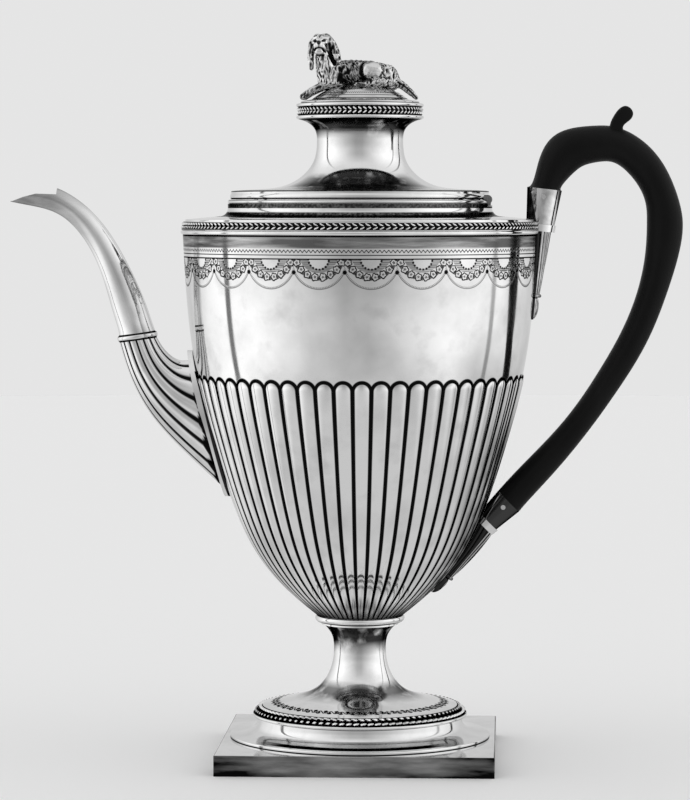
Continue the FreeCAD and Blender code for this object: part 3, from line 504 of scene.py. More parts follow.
def spoutMarks(tree, point):
    # black lines at both edges of the spout's band and at its seat, and a dull lip
    x, y, z = axes(tree, point)
    x, z = x / mm, z / mm
    lean, turn = math.radians(spout["lean"]), math.radians(90 - spout["slope"])
    rise = (z - spoutJoint[1]) * math.cos(lean) - (x - spoutJoint[0]) * math.sin(lean)
    behind = (x - spoutFoot[0]) * math.cos(turn) - (z - spoutFoot[1]) * math.sin(turn)
    lines = [rise.band(level, spoutCuts["line"], 0.15) for level in (0.0, spout["band"])]
    worn = noiseField(tree, point, *spoutCuts["worn"]).above(0.25, 0.4) * 0.35 + 0.3
    lip = x.above(spoutCuts["lip"], spoutCuts["lipFade"]).both(worn)
    return lip.either(behind.above(spoutCuts["seat"], 0.2) * 0.97, *lines)


plinthTone = dict(ground=0.44, corner=0.3, worn=0.34, low=0.18, noise=(130.0, 6.0, (0.35, 0.35, 2.0)))


def plinthMarks(tree, point):
    # sides of the plinth, darkened all over and more towards the corners and the bottom, mottled by noise
    x, y, z = axes(tree, point)
    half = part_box("plinth_top")[1].x
    side = x.size().either(y.size()).above(half - 0.5 * mm, 0.3 * mm)
    along = x.size().run("MINIMUM", y.size()) / half
    worn = noiseField(tree, point, *plinthTone["noise"]).above(0.3, 0.35)
    dark = along * along * plinthTone["corner"] + worn * plinthTone["worn"]
    dark = dark + z.above(3 * mm, -3 * mm) * plinthTone["low"] + plinthTone["ground"]
    return dark.clamped().both(side)


grooves = dict(
    wide=0.19, narrow=0.13, narrowAt=70.0, soft=0.045, baseDepth=0.85, base=9.0,
    # this line's noise, depth, start and top set the painted reflection of the handle on the flutes beside it
    worn=(150.0, 5.0, (1.0, 1.0, 0.3)), shade=0.82, handleReflectionFrom=0.72, handleReflectionTop=4.0,
)


def fluteMarks(tree, point):
    # black line along each groove and round the heads, dark at the foot of the bowl, and a painted reflection
    # of the handle on the flutes beside it
    around, radius, height = polar(tree, point)
    level = height - low("body_bowl")
    across = around.cell(flutePitch) * radius
    beyond = (height - fluteSpring).run("MAXIMUM", 0.0)
    line = (across.reach(beyond) - radius * fluteHalf).size() / (radius * flutePitch)
    wide = level.above(0.0, grooves["narrowAt"]) * (grooves["narrow"] - grooves["wide"]) + grooves["wide"]
    base = level.within(0.0, grooves["base"]) * grooves["baseDepth"]
    worn = noiseField(tree, point, *grooves["worn"]).above(0.2, 0.4)
    # painted reflection of the dark handle, mottled by noise
    shade = around.run("COSINE").above(grooves["handleReflectionFrom"], 0.24)
    shade = shade.both((height * -1).above(grooves["handleReflectionTop"] - fluteSpring, 30.0)).both(worn)
    return ((line - wide) / -grooves["soft"]).clamped().either(base, shade * grooves["shade"])


paintedShadeBands = dict(  # painted shade as dark bands, the gaps between them left bright as painted highlights: start, end and depth, as shares of the width from the pot outwards
    upper_socket=((-0.3, 0.17, 0.97), (0.17, 0.4, 0.35), (0.93, 1.3, 0.85)),
    upper_drop=(
        (-0.3, 0.32, 0.97), (0.48, 0.54, 0.9), (0.7, 0.75, 0.85), (0.84, 0.88, 0.8), (0.96, 1.3, 0.9),
    ),
    lower_socket=((-0.3, 0.16, 0.98), (0.22, 1.3, 0.93)),
    lower_drop=((-0.3, 0.66, 0.97), (0.74, 0.82, 0.95), (0.9, 1.3, 0.95)),
)


def paintedSideShade(name):
    # dark bands of painted shade along a handle fitting, with painted highlights in the bright gaps, between
    # straight lines fitted to its two edges
    places = np.array([v.co for v in nodes[name].data.vertices])[:, (0, 2)] / mm
    centre = places.mean(axis=0)
    way = np.linalg.svd(places - centre, full_matrices=False)[2][0]
    way *= np.sign(way[1])
    out = np.array([way[1], -way[0]])
    along, across = (places - centre) @ way, (places - centre) @ out
    cuts = np.linspace(along.min(), along.max(), 7)
    middles, inner, outer = [], [], []
    for start, end in zip(cuts, cuts[1:]):
        span = across[(along >= start - 0.01) & (along <= end + 0.01)]
        if len(span) > 3:
            middles.append((start + end) / 2)
            inner.append(span.min())
            outer.append(span.max())
    first, last = np.polyfit(middles, inner, 1), np.polyfit(middles, outer, 1)
    growth, width = last - first

    def marks(tree, point):
        x, y, z = axes(tree, point)
        x, z = x / mm - centre[0], z / mm - centre[1]
        run, aside = x * way[0] + z * way[1], x * out[0] + z * out[1]
        share = (aside - run * first[0] - first[1]) / (run * growth + width)
        dark = noiseField(tree, point, 160.0, 5.0).above(0.3, 0.4) * 0.5
        for start, end, depth in paintedShadeBands[name]:
            dark = dark.either(share.band((start + end) / 2, (end - start) / 2, 0.03) * depth)
        return dark

    return marks


plainSilver = silverMaterial("plain_silver")
grooveSilver = silverMaterial("chased_silver", attribute="groove")
bowlSilver = silverMaterial("fluted_silver", marks=fluteMarks)
castSilver = silverMaterial("cast_silver", attribute="groove", rough=0.16, cloud=0.6)
drumSilver = silverMaterial("engraved_drum", marks=drumMarks)
stemSilver = silverMaterial("engraved_foot", marks=stemMarks)
lidSilver = silverMaterial("engraved_lid", marks=lidMarks)
capSilver = silverMaterial("engraved_cap", marks=capMarks, cloud=0.5, ground=0.22)
plinthSilver = silverMaterial("plinth_silver", marks=plinthMarks)
fittingSilver = {name: silverMaterial(name + "_silver", marks=paintedSideShade(name)) for name in paintedShadeBands}
hingeSilver = silverMaterial("dark_silver", ground=0.6)
ringSilver = silverMaterial("ringed_silver", marks=ringMarks)
liningSilver = silverMaterial("lining_silver", marks=strainerMarks)
footSilver = silverMaterial("foot_silver", marks=footMarks)
spoutSilver = silverMaterial("spout_silver", marks=spoutMarks, attribute="groove")
ebony = woodMaterial("ebonised_wood")
print("materials made")


# making meshes


def finishMesh(name, bm, material, host, replaced=(), sharp=38, merge=0.00001):
    bmesh.ops.remove_doubles(bm, verts=bm.verts, dist=merge)
    bmesh.ops.recalc_face_normals(bm, faces=bm.faces)
    mesh = bpy.data.meshes.new(name)
    bm.to_mesh(mesh)
    bm.free()
    mesh.shade_smooth()
    mesh.set_sharp_from_angle(angle=math.radians(sharp))
    mesh.materials.append(material)
    piece = bpy.data.objects.new(name, mesh)
    bpy.context.scene.collection.objects.link(piece)
    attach(piece, host)
    if replaced:
        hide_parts(*replaced)
    return piece


def roundEdge(centre, radius, first, last, count=8):
    # points of an arc in the outline's plane, angles in degrees from level
    turns = [math.radians(first + (last - first) * i / count) for i in range(count + 1)]
    return [(centre[0] + radius * math.cos(t), centre[1] + radius * math.sin(t)) for t in turns]


def lathe(outline, steps=256, notch=0.0):
    # turns a closed outline round the pot's axis, leaving a notch of that half angle at the handle
    bm = bmesh.new()
    verts = [bm.verts.new((r * mm, 0, z * mm)) for r, z in outline]
    edges = [bm.edges.new(pair) for pair in zip(verts, verts[1:] + verts[:1])]
    sweep = math.radians(360 - 2 * notch)
    bmesh.ops.rotate(bm, verts=verts, cent=(0, 0, 0), matrix=Matrix.Rotation(math.radians(notch), 3, "Z"))
    bmesh.ops.spin(bm, geom=verts + edges, cent=(0, 0, 0), axis=(0, 0, 1), angle=sweep,
                   steps=steps, use_merge=not notch)
    if notch:
        bmesh.ops.holes_fill(bm, edges=[e for e in bm.edges if e.is_boundary], sides=0)
    return bm


def repeat(bm, count):
    # copies what is there all round the pot's axis
    bmesh.ops.spin(bm, geom=bm.verts[:] + bm.edges[:] + bm.faces[:], cent=(0, 0, 0), axis=(0, 0, 1),
                   angle=fullTurn, steps=count, use_duplicate=True)


def darken(bm, floor, top):
    # tarnish between two levels, in mm
    shade = bm.verts.layers.float.new("groove")
    for vert in bm.verts:
        if floor < vert.co.z / mm < top:
            vert[shade] = 1.0
    return bm


# base

foot = dict(
    radius=60.0, edge=1.5, rounding=0.6, neck=47.0, cove=((7.0, 0.7), (1.2, 3.2)),
    wire=49.6, wireTop=45.6, wireEdge=(0.5, 0.3), reed=0.8, bore=43.9, ground=0.2, stemInset=0.6,
)


def makeFootBase():
    floor, top = low("foot_base"), high("foot_base")
    edge, neck, rounding = floor + foot["edge"], foot["neck"], foot["rounding"]
    brim = foot["radius"] - rounding
    step = roundEdge((brim, edge - rounding), rounding, 0, 90)
    cove = [(neck + out, edge + rise) for out, rise in foot["cove"]]
    cove = smoothLine([(brim, edge)] + cove + [(neck, top)], 28)
    outline = [(foot["radius"], floor)] + step + cove[1:] + [(neck - sheet, top), (neck - sheet, floor)]
    finishMesh("foot_moulding", lathe(outline), footSilver, "pot", ("foot_base",))


makeFootBase()
stem = dict(waist=12.0, top=16.8, collar=20.7, ledge=1.0, shelf=0.25)


def makeStem():
    floor, top = low("foot_stem"), high("foot_stem")
    rise = top - floor
    base, waist = foot["wireTop"] - foot["stemInset"], stem["waist"]
    shape = [
        (base, 0.0), (base * 0.72, 0.075), (waist * 1.67, 0.2), (waist * 1.12, 0.455),
        (waist, 0.7), (waist * 1.1, 0.88), (stem["top"], 1.0),
    ]
    side = smoothLine([(r, floor + h * rise) for r, h in shape], 72)
    inner = [(r - sheet, z) for r, z in side[::-6]]
    finishMesh("stem", lathe(side + inner), stemSilver, "pot", ("foot_stem",))


makeStem()


def makeStemCollar():
    floor, top = low("stem_collar"), high("stem_collar")
    shelf = floor + stem["shelf"] * (top - floor)
    half = (top - shelf) / 2
    bore, ledge = stem["waist"] - sheet, stem["top"] + stem["ledge"]
    bulge = roundEdge((stem["collar"] - half, shelf + half), half, -90, 90, 14)
    outline = [(bore, floor), (ledge, floor), (ledge, shelf)] + bulge + [(bore, top)]
    finishMesh("stem_ring", lathe(outline), footSilver, "pot", ("stem_collar",))


makeStemCollar()
print("base made")

# body

fluteMesh = dict(rows=60, crowd=1.35, headRows=10, columns=14, corner=4)


def makeBowl():
    # one flute with its round head, turned into all of them
    floor, top = low("body_bowl"), high("body_bowl")
    pitch, half = flutePitch, fluteHalf
    columns, corner, count = fluteMesh["columns"], fluteMesh["corner"], fluteMesh["rows"]
    shaft, head = fluteSpring - floor, fluteHead - fluteSpring
    rows = [(floor + shaft * (i / count) ** fluteMesh["crowd"], 1.0) for i in range(count + 1)]
    for i in range(1, fluteMesh["headRows"] + 1):
        turn = math.pi / 2 * i / fluteMesh["headRows"]
        rows.append((fluteSpring + head * math.sin(turn), math.cos(turn)))
    rows.append((top, 0.0))
    bm = bmesh.new()
    grid = []
    for level, share in rows:
        groove = bodyRadius(level)
        rise = groove * body["rise"] * pitch * max(share, 0.0)
        places = [-pitch / 2 + (pitch / 2 - half * share) * i / corner for i in range(corner)]
        places += [half * share * (2 * i / columns - 1) for i in range(columns + 1)]
        places += [half * share + (pitch / 2 - half * share) * (i + 1) / corner for i in range(corner)]
        row = []
        for angle in places:
            inside = abs(angle) / (half * share) if share > 0.01 else 1.0
            radius = (groove + rise * max(0.0, 1 - inside ** 2)) * mm
            row.append(bm.verts.new((radius * math.cos(angle), radius * math.sin(angle), level * mm)))
        grid.append(row)
    for lower, upper in zip(grid, grid[1:]):
        for i in range(len(lower) - 1):
            bm.faces.new((lower[i], lower[i + 1], upper[i + 1], upper[i]))
    bmesh.ops.remove_doubles(bm, verts=bm.verts, dist=0.000002)
    bmesh.ops.rotate(bm, verts=bm.verts, cent=(0, 0, 0), matrix=Matrix.Rotation(pitch / 2, 3, "Z"))
    repeat(bm, body["flutes"])
    finishMesh("fluted_bowl", bm, bowlSilver, "pot", ("body_bowl",), sharp=60, merge=0.000004)


makeBowl()


def wallLine(floor, top, inset=0.0, count=40):
    levels = [floor + (top - floor) * i / count for i in range(count + 1)]
    return [(bodyRadius(z) - inset, z) for z in levels]


def makeLining():
    # inner wall and floor of the pot
    floor = low("body_bowl") + sheet
    wall = wallLine(floor, high("body_drum"), sheet)
    bm = bmesh.new()
    verts = [bm.verts.new((r * mm, 0, z * mm)) for r, z in [(0.01, floor)] + wall]
    edges = [bm.edges.new(pair) for pair in zip(verts, verts[1:])]
    bmesh.ops.spin(bm, geom=verts + edges, cent=(0, 0, 0), axis=(0, 0, 1), angle=fullTurn,
                   steps=128, use_merge=True)
    piece = finishMesh("lining", bm, liningSilver, "pot")
    piece.data.flip_normals()


makeLining()


def makeDrum():
    floor, top = low("body_drum"), high("body_drum")
    outer = wallLine(floor, top)
    outline = outer + [(r - body["drumWall"], z) for r, z in (outer[-1], outer[0])]
    finishMesh("drum", lathe(outline), drumSilver, "pot", ("body_drum",))


makeDrum()
rim = dict(reed=82.4, wire=82.0, lean=1.0, swell=0.4, bore=79.0, ground=0.2)


def makeRim():
    floor, top = low("rim_reed"), high("rim_reed")
    half = (top - floor) / 2
    reed = roundEdge((rim["reed"] - half, floor + half), half, -90, 90, 12)
    ceiling = high("rim_wire")
    wire = [(rim["wire"], top), (rim["wire"] - rim["lean"] / 2 + rim["swell"] / 2, (top + ceiling) / 2),
            (rim["wire"] - rim["lean"], ceiling)]
    outline = [(rim["bore"], floor)] + reed + smoothLine(wire, 9) + [(rim["bore"], ceiling)]
    ground = darken(lathe(outline), top + rim["ground"], ceiling - rim["ground"])
    finishMesh("rim", ground, grooveSilver, "pot", ("rim_reed", "rim_wire"))


makeRim()
mouth = dict(radius=60.7, bore=57.8, cove=3.7, reed=0.9, notch=14.35, inset=0.8, edge=0.9, rounding=0.3)


def makeMouth():
    # shoulder and the ring that the lid sits on, cut away for the hinge
    floor, step, top, seat = low("shoulder"), low("mouth_ring"), high("mouth_ring"), low("hinge_seat")
    bore, radius, rounding = mouth["bore"], mouth["radius"], mouth["rounding"]
    brim = rim["wire"] - rim["lean"] - mouth["inset"]
    edge = floor + mouth["edge"] - rounding
    cove = roundEdge((radius + mouth["cove"], step + mouth["cove"]), mouth["cove"], -90, -180, 10)
    outline = [(rim["bore"], floor), (brim, floor), (brim, edge)]
    outline += roundEdge((brim - rounding, edge), rounding, 0, 90, 4) + cove
    outline += [(radius, seat), (bore, seat), (bore, step - mouth["edge"])]
    finishMesh("shoulder_sheet", lathe(outline), ringSilver, "pot", ("shoulder",), sharp=30)
    reed = roundEdge((radius - mouth["reed"], top - mouth["reed"]), mouth["reed"], -90, 90, 10)
    outline = [(bore, seat), (radius, seat), (radius, top - 2 * mouth["reed"])] + reed + [(bore, top)]
    finishMesh("mouth_reed", lathe(outline, notch=mouth["notch"]), ringSilver, "pot", ("mouth_ring",))


makeMouth()
print("body made")

# reeded root of the spout

rootMesh = dict(rows=60, steps=10, tuck=1.5, headFrom=1.0, groove=0.75)


def rootLines():
    # top line and keel of the root, from the pot to the joint
    lines = []
    sections = ((spoutFoot, spout["slope"], spout["tall"]), (spoutJoint, spout["lean"], spout["joint"]))
    for shares, side in ((spout["top"], 1), (spout["keel"], -1)):
        ends = []
        for (x, z), lean, size in sections:
            turn = math.radians(90 - lean)
            ends.append((x + side * size / 2 * math.sin(turn), z + side * size / 2 * math.cos(turn)))
        (x0, z0), (x1, z1) = ends
        line = [(x0 + (x1 - x0) * x, z0 + (z1 - z0) * z) for x, z in shares]
        lines.append([Vector((x, 0, z)) for x, z in smoothLine(line, rootMesh["rows"] + 1)])
    return zip(*lines)


def makeSpoutRoot():
    # oval sections from the pot to the joint, with round reeds that start in round heads
    bm = bmesh.new()
    shade = bm.verts.layers.float.new("groove")
    steps, start = rootMesh["steps"], rootMesh["headFrom"]
    rows, gone = [], 0.0
    for i, (upper, lower) in enumerate(rootLines()):
        half, centre = (upper - lower) / 2, (upper + lower) / 2
        wide = (spout["wide"] + (spout["joint"] - spout["wide"]) * i / rootMesh["rows"]) / 2
        gone += (centre - before).length if i else 0.0
        before = centre
        for inward in ((0.0,) if i else (rootMesh["tuck"], 0.0)):
            row = []
            for k in range(spout["reeds"] * steps):
                turn = fullTurn * k / (spout["reeds"] * steps)
                place = abs(2 * (k % steps) / steps - 1)  # 1 in a groove, 0 on a crest
                size = 1 - spout["rise"] * place ** 2
                across = Vector((inward, wide * math.sin(turn) * size, 0))
                vert = bm.verts.new((centre + half * (math.cos(turn) * size) + across) * mm)
                broad = math.hypot(half.length * math.sin(turn), wide * math.cos(turn))
                broad *= math.pi / spout["reeds"]  # half a reed
                short = max(0.0, 1 - (gone - start) / broad)  # share of its head still to come
                vert[shade] = 1.0 if math.hypot(place, short) > rootMesh["groove"] else 0.0
                row.append(vert)
            rows.append(row)
    for first, last in zip(rows, rows[1:]):
        for k in range(len(first)):
            bm.faces.new((first[k - 1], first[k], last[k], last[k - 1]))
    finishMesh("reeded_root", bm, spoutSilver, "pot", ("spout_root",), sharp=50, merge=0.000001)


makeSpoutRoot()

# wheat-ear borders: two rows of leaves that meet in a herringbone


def makeWheat(name, node, host, ear):
    # one pair of leaves, turned into the whole border
    floor, top = low(node) + ear["floor"], high(node) - ear["top"]
    bm = bmesh.new()
    slope = math.atan2(ear["lean"], top - floor)
    for row in (-1, 1):
        level = (top + floor) / 2 + row * ear["apart"]
        radius = ear["radius"] - (level - floor) * ear["inward"]
        made = bmesh.ops.create_uvsphere(bm, u_segments=8, v_segments=6, radius=mm)["verts"]
        bmesh.ops.scale(bm, vec=(ear["thick"], ear["wide"], ear["long"]), verts=made)
        tilt = Matrix.Rotation(math.radians(row * ear["tilt"]), 3, "X")
        bmesh.ops.rotate(bm, verts=made, cent=(0, 0, 0), matrix=Matrix.Rotation(-slope, 3, "Y") @ tilt)
        bmesh.ops.translate(bm, vec=(radius * mm, 0, level * mm), verts=made)
    repeat(bm, ear["pairs"])
    finishMesh(name, bm, plainSilver, host, merge=0.0000005)


def makeFootWire():
    floor, top = low("foot_wire"), high("foot_wire")
    reedTop = floor + 2 * foot["reed"]
    reed = roundEdge((foot["wire"] - foot["reed"], floor + foot["reed"]), foot["reed"], -90, 90, 12)
    inset, drop = foot["wireEdge"]
    outline = [(foot["bore"], floor)] + reed + [(foot["wireTop"] - inset, top - drop), (foot["bore"], top)]
    ground = darken(lathe(outline), reedTop - foot["ground"], top - foot["ground"])
    finishMesh("foot_border", ground, grooveSilver, "pot", ("foot_wire",))


makeFootWire()
footWheat = dict(
    pairs=92, thick=0.72, wide=0.62, long=2.1, tilt=60, apart=0.88,
    floor=1.6, top=0.2, radius=48.6, inward=1.12, lean=-3.5,
)
makeWheat("foot_wheat", "foot_wire", "pot", footWheat)
rimWheat = dict(
    pairs=178, thick=0.6, wide=0.46, long=1.5, tilt=62, apart=0.78,
    floor=0.1, top=0.2, radius=81.73, inward=0.2, lean=-0.8,
)
makeWheat("rim_wheat", "rim_wire", "pot", rimWheat)
print("borders made")

# lid

lid = dict(
    ring=59.7, depth=7.6, bulge=0.2, notch=16.6, waist=19.8, top=28.4, edge=1.2, rounding=0.4,
    skirt=((1.0, 0.0), (0.69, 0.025), (0.385, 0.075), (0.155, 0.23), (0.037, 0.42), (0.0, 0.665)),
    flare=((0.13, 0.866), (0.62, 0.968), (1.0, 1.0)),
    hollow=((2.2, 1.0), (-0.3, 0.866), (-2.3, 0.665), (-1.2, 0.42), (1.7, 0.27), (10.2, 0.09)),
)
lidBore = lid["ring"] - lid["depth"]
lidBrim = lid["ring"] - (high("lid_ring") - low("lid_ring")) * lid["bulge"]


def makeLidRing():
    floor, top = low("lid_ring"), high("lid_ring")
    side = smoothLine([(lidBrim, floor), (lid["ring"], (floor + top) / 2), (lidBrim, top)], 9)
    outline = [(lidBore, floor)] + side + [(lidBore, top)]
    finishMesh("lid_edge", lathe(outline, notch=lid["notch"]), ringSilver, "lid", ("lid_ring",))


makeLidRing()


def makeLidCone():
    base, top = high("lid_ring"), low("lid_band")
    start, waist, rounding = base + lid["edge"], lid["waist"], lid["rounding"]
    rise = top - start
    line = [(waist + s * (lidBrim - waist), start + h * rise) for s, h in lid["skirt"]]
    line += [(waist + s * (lid["top"] - waist), start + h * rise) for s, h in lid["flare"]]
    rounded = roundEdge((lidBrim - rounding, start - rounding), rounding, 0, 90, 5)
    inner = [(waist + s, start + h * rise) for s, h in lid["hollow"]] + [(lidBore, base)]
    outline = [(lidBrim, base)] + rounded + smoothLine(line, 90)[1:] + inner
    finishMesh("lid_dome", lathe(outline), lidSilver, "lid", ("lid_cone",))


makeLidCone()
lidBand = dict(radius=29.2, bore=24.6, reed=0.75, inset=0.3, ground=0.5)


def makeLidBand():
    floor, top = low("lid_band"), high("lid_band")
    reed, bore = lidBand["reed"], lidBand["bore"]
    edge = lidBand["radius"] - reed / 2
    lower = roundEdge((edge - lidBand["inset"], floor + reed), reed, -90, 90, 10)
    upper = roundEdge((edge - lidBand["inset"], top - reed), reed, -90, 90, 10)
    ground = [(edge - lidBand["ground"], z) for z in (floor + 2 * reed, top - 2 * reed)]
    outline = [(bore, floor)] + lower + ground + upper + [(bore, top)]
    dark = darken(lathe(outline), floor + 2 * reed - 0.1, top - 2 * reed + 0.1)
    finishMesh("lid_border", dark, grooveSilver, "lid", ("lid_band",))


makeLidBand()
lidWheat = dict(
    pairs=78, thick=0.6, wide=0.47, long=1.1, tilt=50, apart=0.82,
    floor=1.4, top=1.4, radius=28.45, inward=0.0, lean=0.0,
)
makeWheat("lid_wheat", "lid_band", "lid", lidWheat)
cap = dict(
    brim=27.2, edge=1.0, rounding=0.3, dome=22.3, hollow=21.0, centre=0.02,
    shape=((1.0, 0.2), (0.83, 0.49), (0.45, 0.87), (0.0, 1.0)),
)


def makeCap():
    floor, top = low("lid_cap"), high("lid_cap")
    rounding, centre = cap["rounding"], cap["centre"]
    dome = smoothLine([(s * cap["dome"], floor + h * (top - floor)) for s, h in cap["shape"]], 40)
    rounded = roundEdge((cap["brim"] - rounding, floor + cap["edge"] - rounding), rounding, 0, 90, 4)
    inner = [(centre, top), (centre, top - sheet), (cap["hollow"], floor)]
    outline = [(cap["brim"], floor)] + rounded + dome[:-1] + inner
    finishMesh("cap", lathe(outline), capSilver, "lid", ("lid_cap",))


makeCap()
print("lid made")

# finial: a reclining spaniel, in mm from the top of the cap

dog = dict(
    voxel=0.25, smooth=3, spacing=0.35, cutDepth=0.4, cutEdge=1.6, facing=(2.2, 0.2),
    strokes=dict(  # each a run of (x, y, z, radius)
        trunk=[(-12, 0, 4.6, 6.2), (-4, 0, 5.0, 6.0), (5, 0, 4.6, 6.0),
               (12, 0, 3.4, 5.6), (14.6, 0, 0.8, 4.2)],
        chest=[(-14.4, -0.6, 1.4, 5.2), (-15.2, -1.2, 6.6, 5.2), (-16.4, -1.2, 12.0, 4.3)],
        skull=[(-18.2, -0.8, 18.0, 4.6), (-16.6, 0.6, 18.3, 4.6)],
        muzzle=[(-18.2, -3.6, 17.4, 3.1), (-18.5, -5.2, 16.9, 2.5)],
        noseBridge=[(-18.5, -5.0, 18.9, 1.2), (-18.55, -6.9, 18.6, 1.1)],
        nearJowl=[(-19.9, -5.8, 16.9, 1.45), (-20.8, -4.4, 15.6, 1.3)],
        farJowl=[(-17.1, -5.8, 16.9, 1.45), (-16.0, -4.4, 15.6, 1.3)],
        chin=[(-19.2, -5.2, 14.4, 1.5), (-17.7, -5.2, 14.4, 1.5)],
        nearEar=[(-19.4, -0.8, 20.8, 2.1), (-21.6, -2.0, 18, 2.0),
                 (-22.5, -2.8, 12.6, 1.6), (-22.1, -3.0, 7.0, 1.1)],
        farEar=[(-15.4, -0.8, 20.8, 2.2), (-13.2, -2.0, 18.2, 2.3),
                (-11.4, -2.8, 14, 2.4), (-9.8, -3.2, 10.2, 1.5)],
        brow=[(-20.6, -3.4, 20.5, 0.8), (-19.4, -4.2, 20.8, 0.8),
              (-17.4, -4.2, 20.8, 0.8), (-15.6, -3.6, 20.6, 0.8)],
        frontHaunch=[(4.6, -4.8, 5.6, 4.3), (7.4, -4.8, 5.2, 4.3)],
        backHaunch=[(4.6, 4.8, 5.6, 4.3), (7.4, 4.8, 5.2, 4.3)],
        frontHindPaw=[(11.2, -6.4, 0.8, 2.5), (6.0, -7.2, -0.7, 1.9),
                      (0.6, -7.4, -0.9, 1.6), (-1.2, -7.5, -1.0, 1.5)],
        backHindPaw=[(11.2, 6.4, 0.8, 2.5), (6.0, 7.2, -0.7, 1.9),
                     (0.6, 7.4, -0.9, 1.6), (-1.2, 7.5, -1.0, 1.5)],
        frontForeleg=[(-9, -3.6, 0.4, 2.2), (-17, -3.8, -1.1, 2.1),
                      (-22.5, -3.8, -3.8, 1.8), (-25.9, -3.8, -6.0, 1.65)],
        backForeleg=[(-9, 3.6, 0.4, 2.2), (-17, 3.8, -1.1, 2.1),
                     (-22.5, 3.8, -3.8, 1.8), (-25.4, 3.8, -5.8, 1.65)],
        tail=[(14.5, -1.4, 1.2, 2.5), (19.5, -1.4, -0.9, 1.9),
              (23.5, -1.4, -4.3, 1.5), (25.8, -1.4, -6.6, 1.0)],
    ),
    cuts=[  # each a half width, then a run of (x, z) seen from the side
        (0.36, [(-21.0, 14.6), (-20.0, 15.7), (-18.5, 16.2), (-17.0, 15.7), (-15.7, 14.4)]),  # mouth
        (0.24, [(-18.5, 16.2), (-18.5, 17.4)]),
        (0.36, [(-21.0, 19.4), (-20.2, 19.3)]),  # eyes
        (0.36, [(-16.8, 19.4), (-15.9, 19.5)]),
        (0.45, [(-21.7, 17.6), (-21.3, 14.0), (-20.8, 10.0), (-20.9, 6.2)]),  # beside the ears
        (0.7, [(-14.0, 18.0), (-13.6, 15.0), (-12.9, 11.6), (-11.4, 8.9)]),
        (0.2, [(-20.4, 13.4), (-18.5, 12.5), (-16.4, 13.2)]),  # under the chin
        (0.25, [(-17.9, 22.4), (-18.3, 21.0)]),  # parting
        (1.3, [(-8.6, 3.6), (-8.8, 1.8), (-7.0, 0.8)]),  # behind the shoulder
        (0.8, [(2.2, 1.4), (0.4, 4.4), (0.7, 7.6), (2.2, 9.8), (5.6, 10.3)]),  # haunch
        (0.3, [(5.6, 10.3), (9.2, 9.3), (11.2, 6.9), (11.0, 4.0), (12.4, 1.6)]),
        (0.3, [(-26.4, -4.4), (-26.8, -6.6)]),  # toes
        (0.3, [(-24.9, -4.0), (-25.2, -6.6)]),
        (0.4, [(17.6, 0.6), (21.6, -2.2), (25.4, -6.0)]),  # tail
        (0.3, [(2.6, -0.9), (-1.0, -1.0)]),
    ],
    balls=(  # centre, radius and tarnish of the eyes and nose
        ((-20.55, -4.35, 19.3), 0.72, 0.96), ((-16.4, -4.35, 19.4), 0.72, 0.96),
        ((-18.55, -7.6, 18.5), 0.95, 0.95),
    ),
)
coat = dict(
    seed=1, swirl=0.7, swirlScale=0.3, broad=2.0, fine=0.5, fineScale=2.1,
    tarnishAndShadeFrom=0.42, contrast=4.2, most=0.98,
)


def between(value):
    return max(0.0, min(1.0, value))


def coatAt(p):
    # depth of the coat at a point, its dark ground, and how its locks run: across, across, along
    if p.z > 13.4 and p.x < -8.0:  # head, with a smooth face between the ears
        ear = between((abs(p.x + 17.9) - 3.6) / 0.8) if p.y < 0 and p.z < 21.4 else 1.0
        return 0.24 * ear, 0.46 * ear, (p.x * 0.9, p.y * 0.9, p.z * 0.2)
    if ((p.x - 5.2) / 5.0) ** 2 + ((p.z - 5.8) / 4.4) ** 2 < 1 and abs(p.y) > 4:  # bare haunch
        return 0.03, 0.0, (p.x, p.y, p.z)
    if p.z < -0.4 or p.x > 16:  # legs and tail
        return 0.2, 0.4, ((p.x + p.z) * 0.3, p.y * 1.1, (p.z - p.x) * 0.7)
    if p.x < -8.8:  # chest
        return 0.34, 0.3, (p.x * 0.95, p.y * 0.7, p.z * 0.22)
    if p.x < 2:  # flank, whose dark ground is painted shadow behind the ears
        return 0.3, 0.76, ((p.x + p.z * 0.4) * 0.85, p.y * 0.6, p.z * 0.3)
    return 0.32, 0.3, ((p.x - p.z * 0.5) * 0.7, p.y * 0.6, (p.z + p.x * 0.5) * 0.28)


def dogForm(base):
    # the strokes as runs of balls, wrapped in one skin and smoothed
    bm = bmesh.new()
    for stroke in dog["strokes"].values():
        for first, last in zip(stroke, stroke[1:]):
            a, b = Vector(first[:3]), Vector(last[:3])
            count = max(2, int((b - a).length / (dog["spacing"] * min(first[3], last[3]))))
            for i in range(count + 1):
                share = i / count
                place = Matrix.Translation((a.lerp(b, share) + base) * mm)
                size = (first[3] + (last[3] - first[3]) * share) * mm
                bmesh.ops.create_icosphere(bm, subdivisions=2, radius=size, matrix=place)
    rough = bpy.data.meshes.new("rough_dog")
    bm.to_mesh(rough)
    bm.free()
    holder = bpy.data.objects.new("rough_dog", rough)
    bpy.context.scene.collection.objects.link(holder)
    remesh = holder.modifiers.new("remesh", "REMESH")
    remesh.mode = "VOXEL"
    remesh.voxel_size = dog["voxel"] * mm
    bpy.context.view_layer.update()
    whole = bpy.data.meshes.new_from_object(holder.evaluated_get(bpy.context.evaluated_depsgraph_get()))
    bpy.data.objects.remove(holder)
    bm = bmesh.new()
    bm.from_mesh(whole)
    for _ in range(dog["smooth"]):
        bmesh.ops.smooth_vert(bm, verts=bm.verts, factor=0.5,
                              use_axis_x=True, use_axis_y=True, use_axis_z=True)
    bm.normal_update()
    return bm


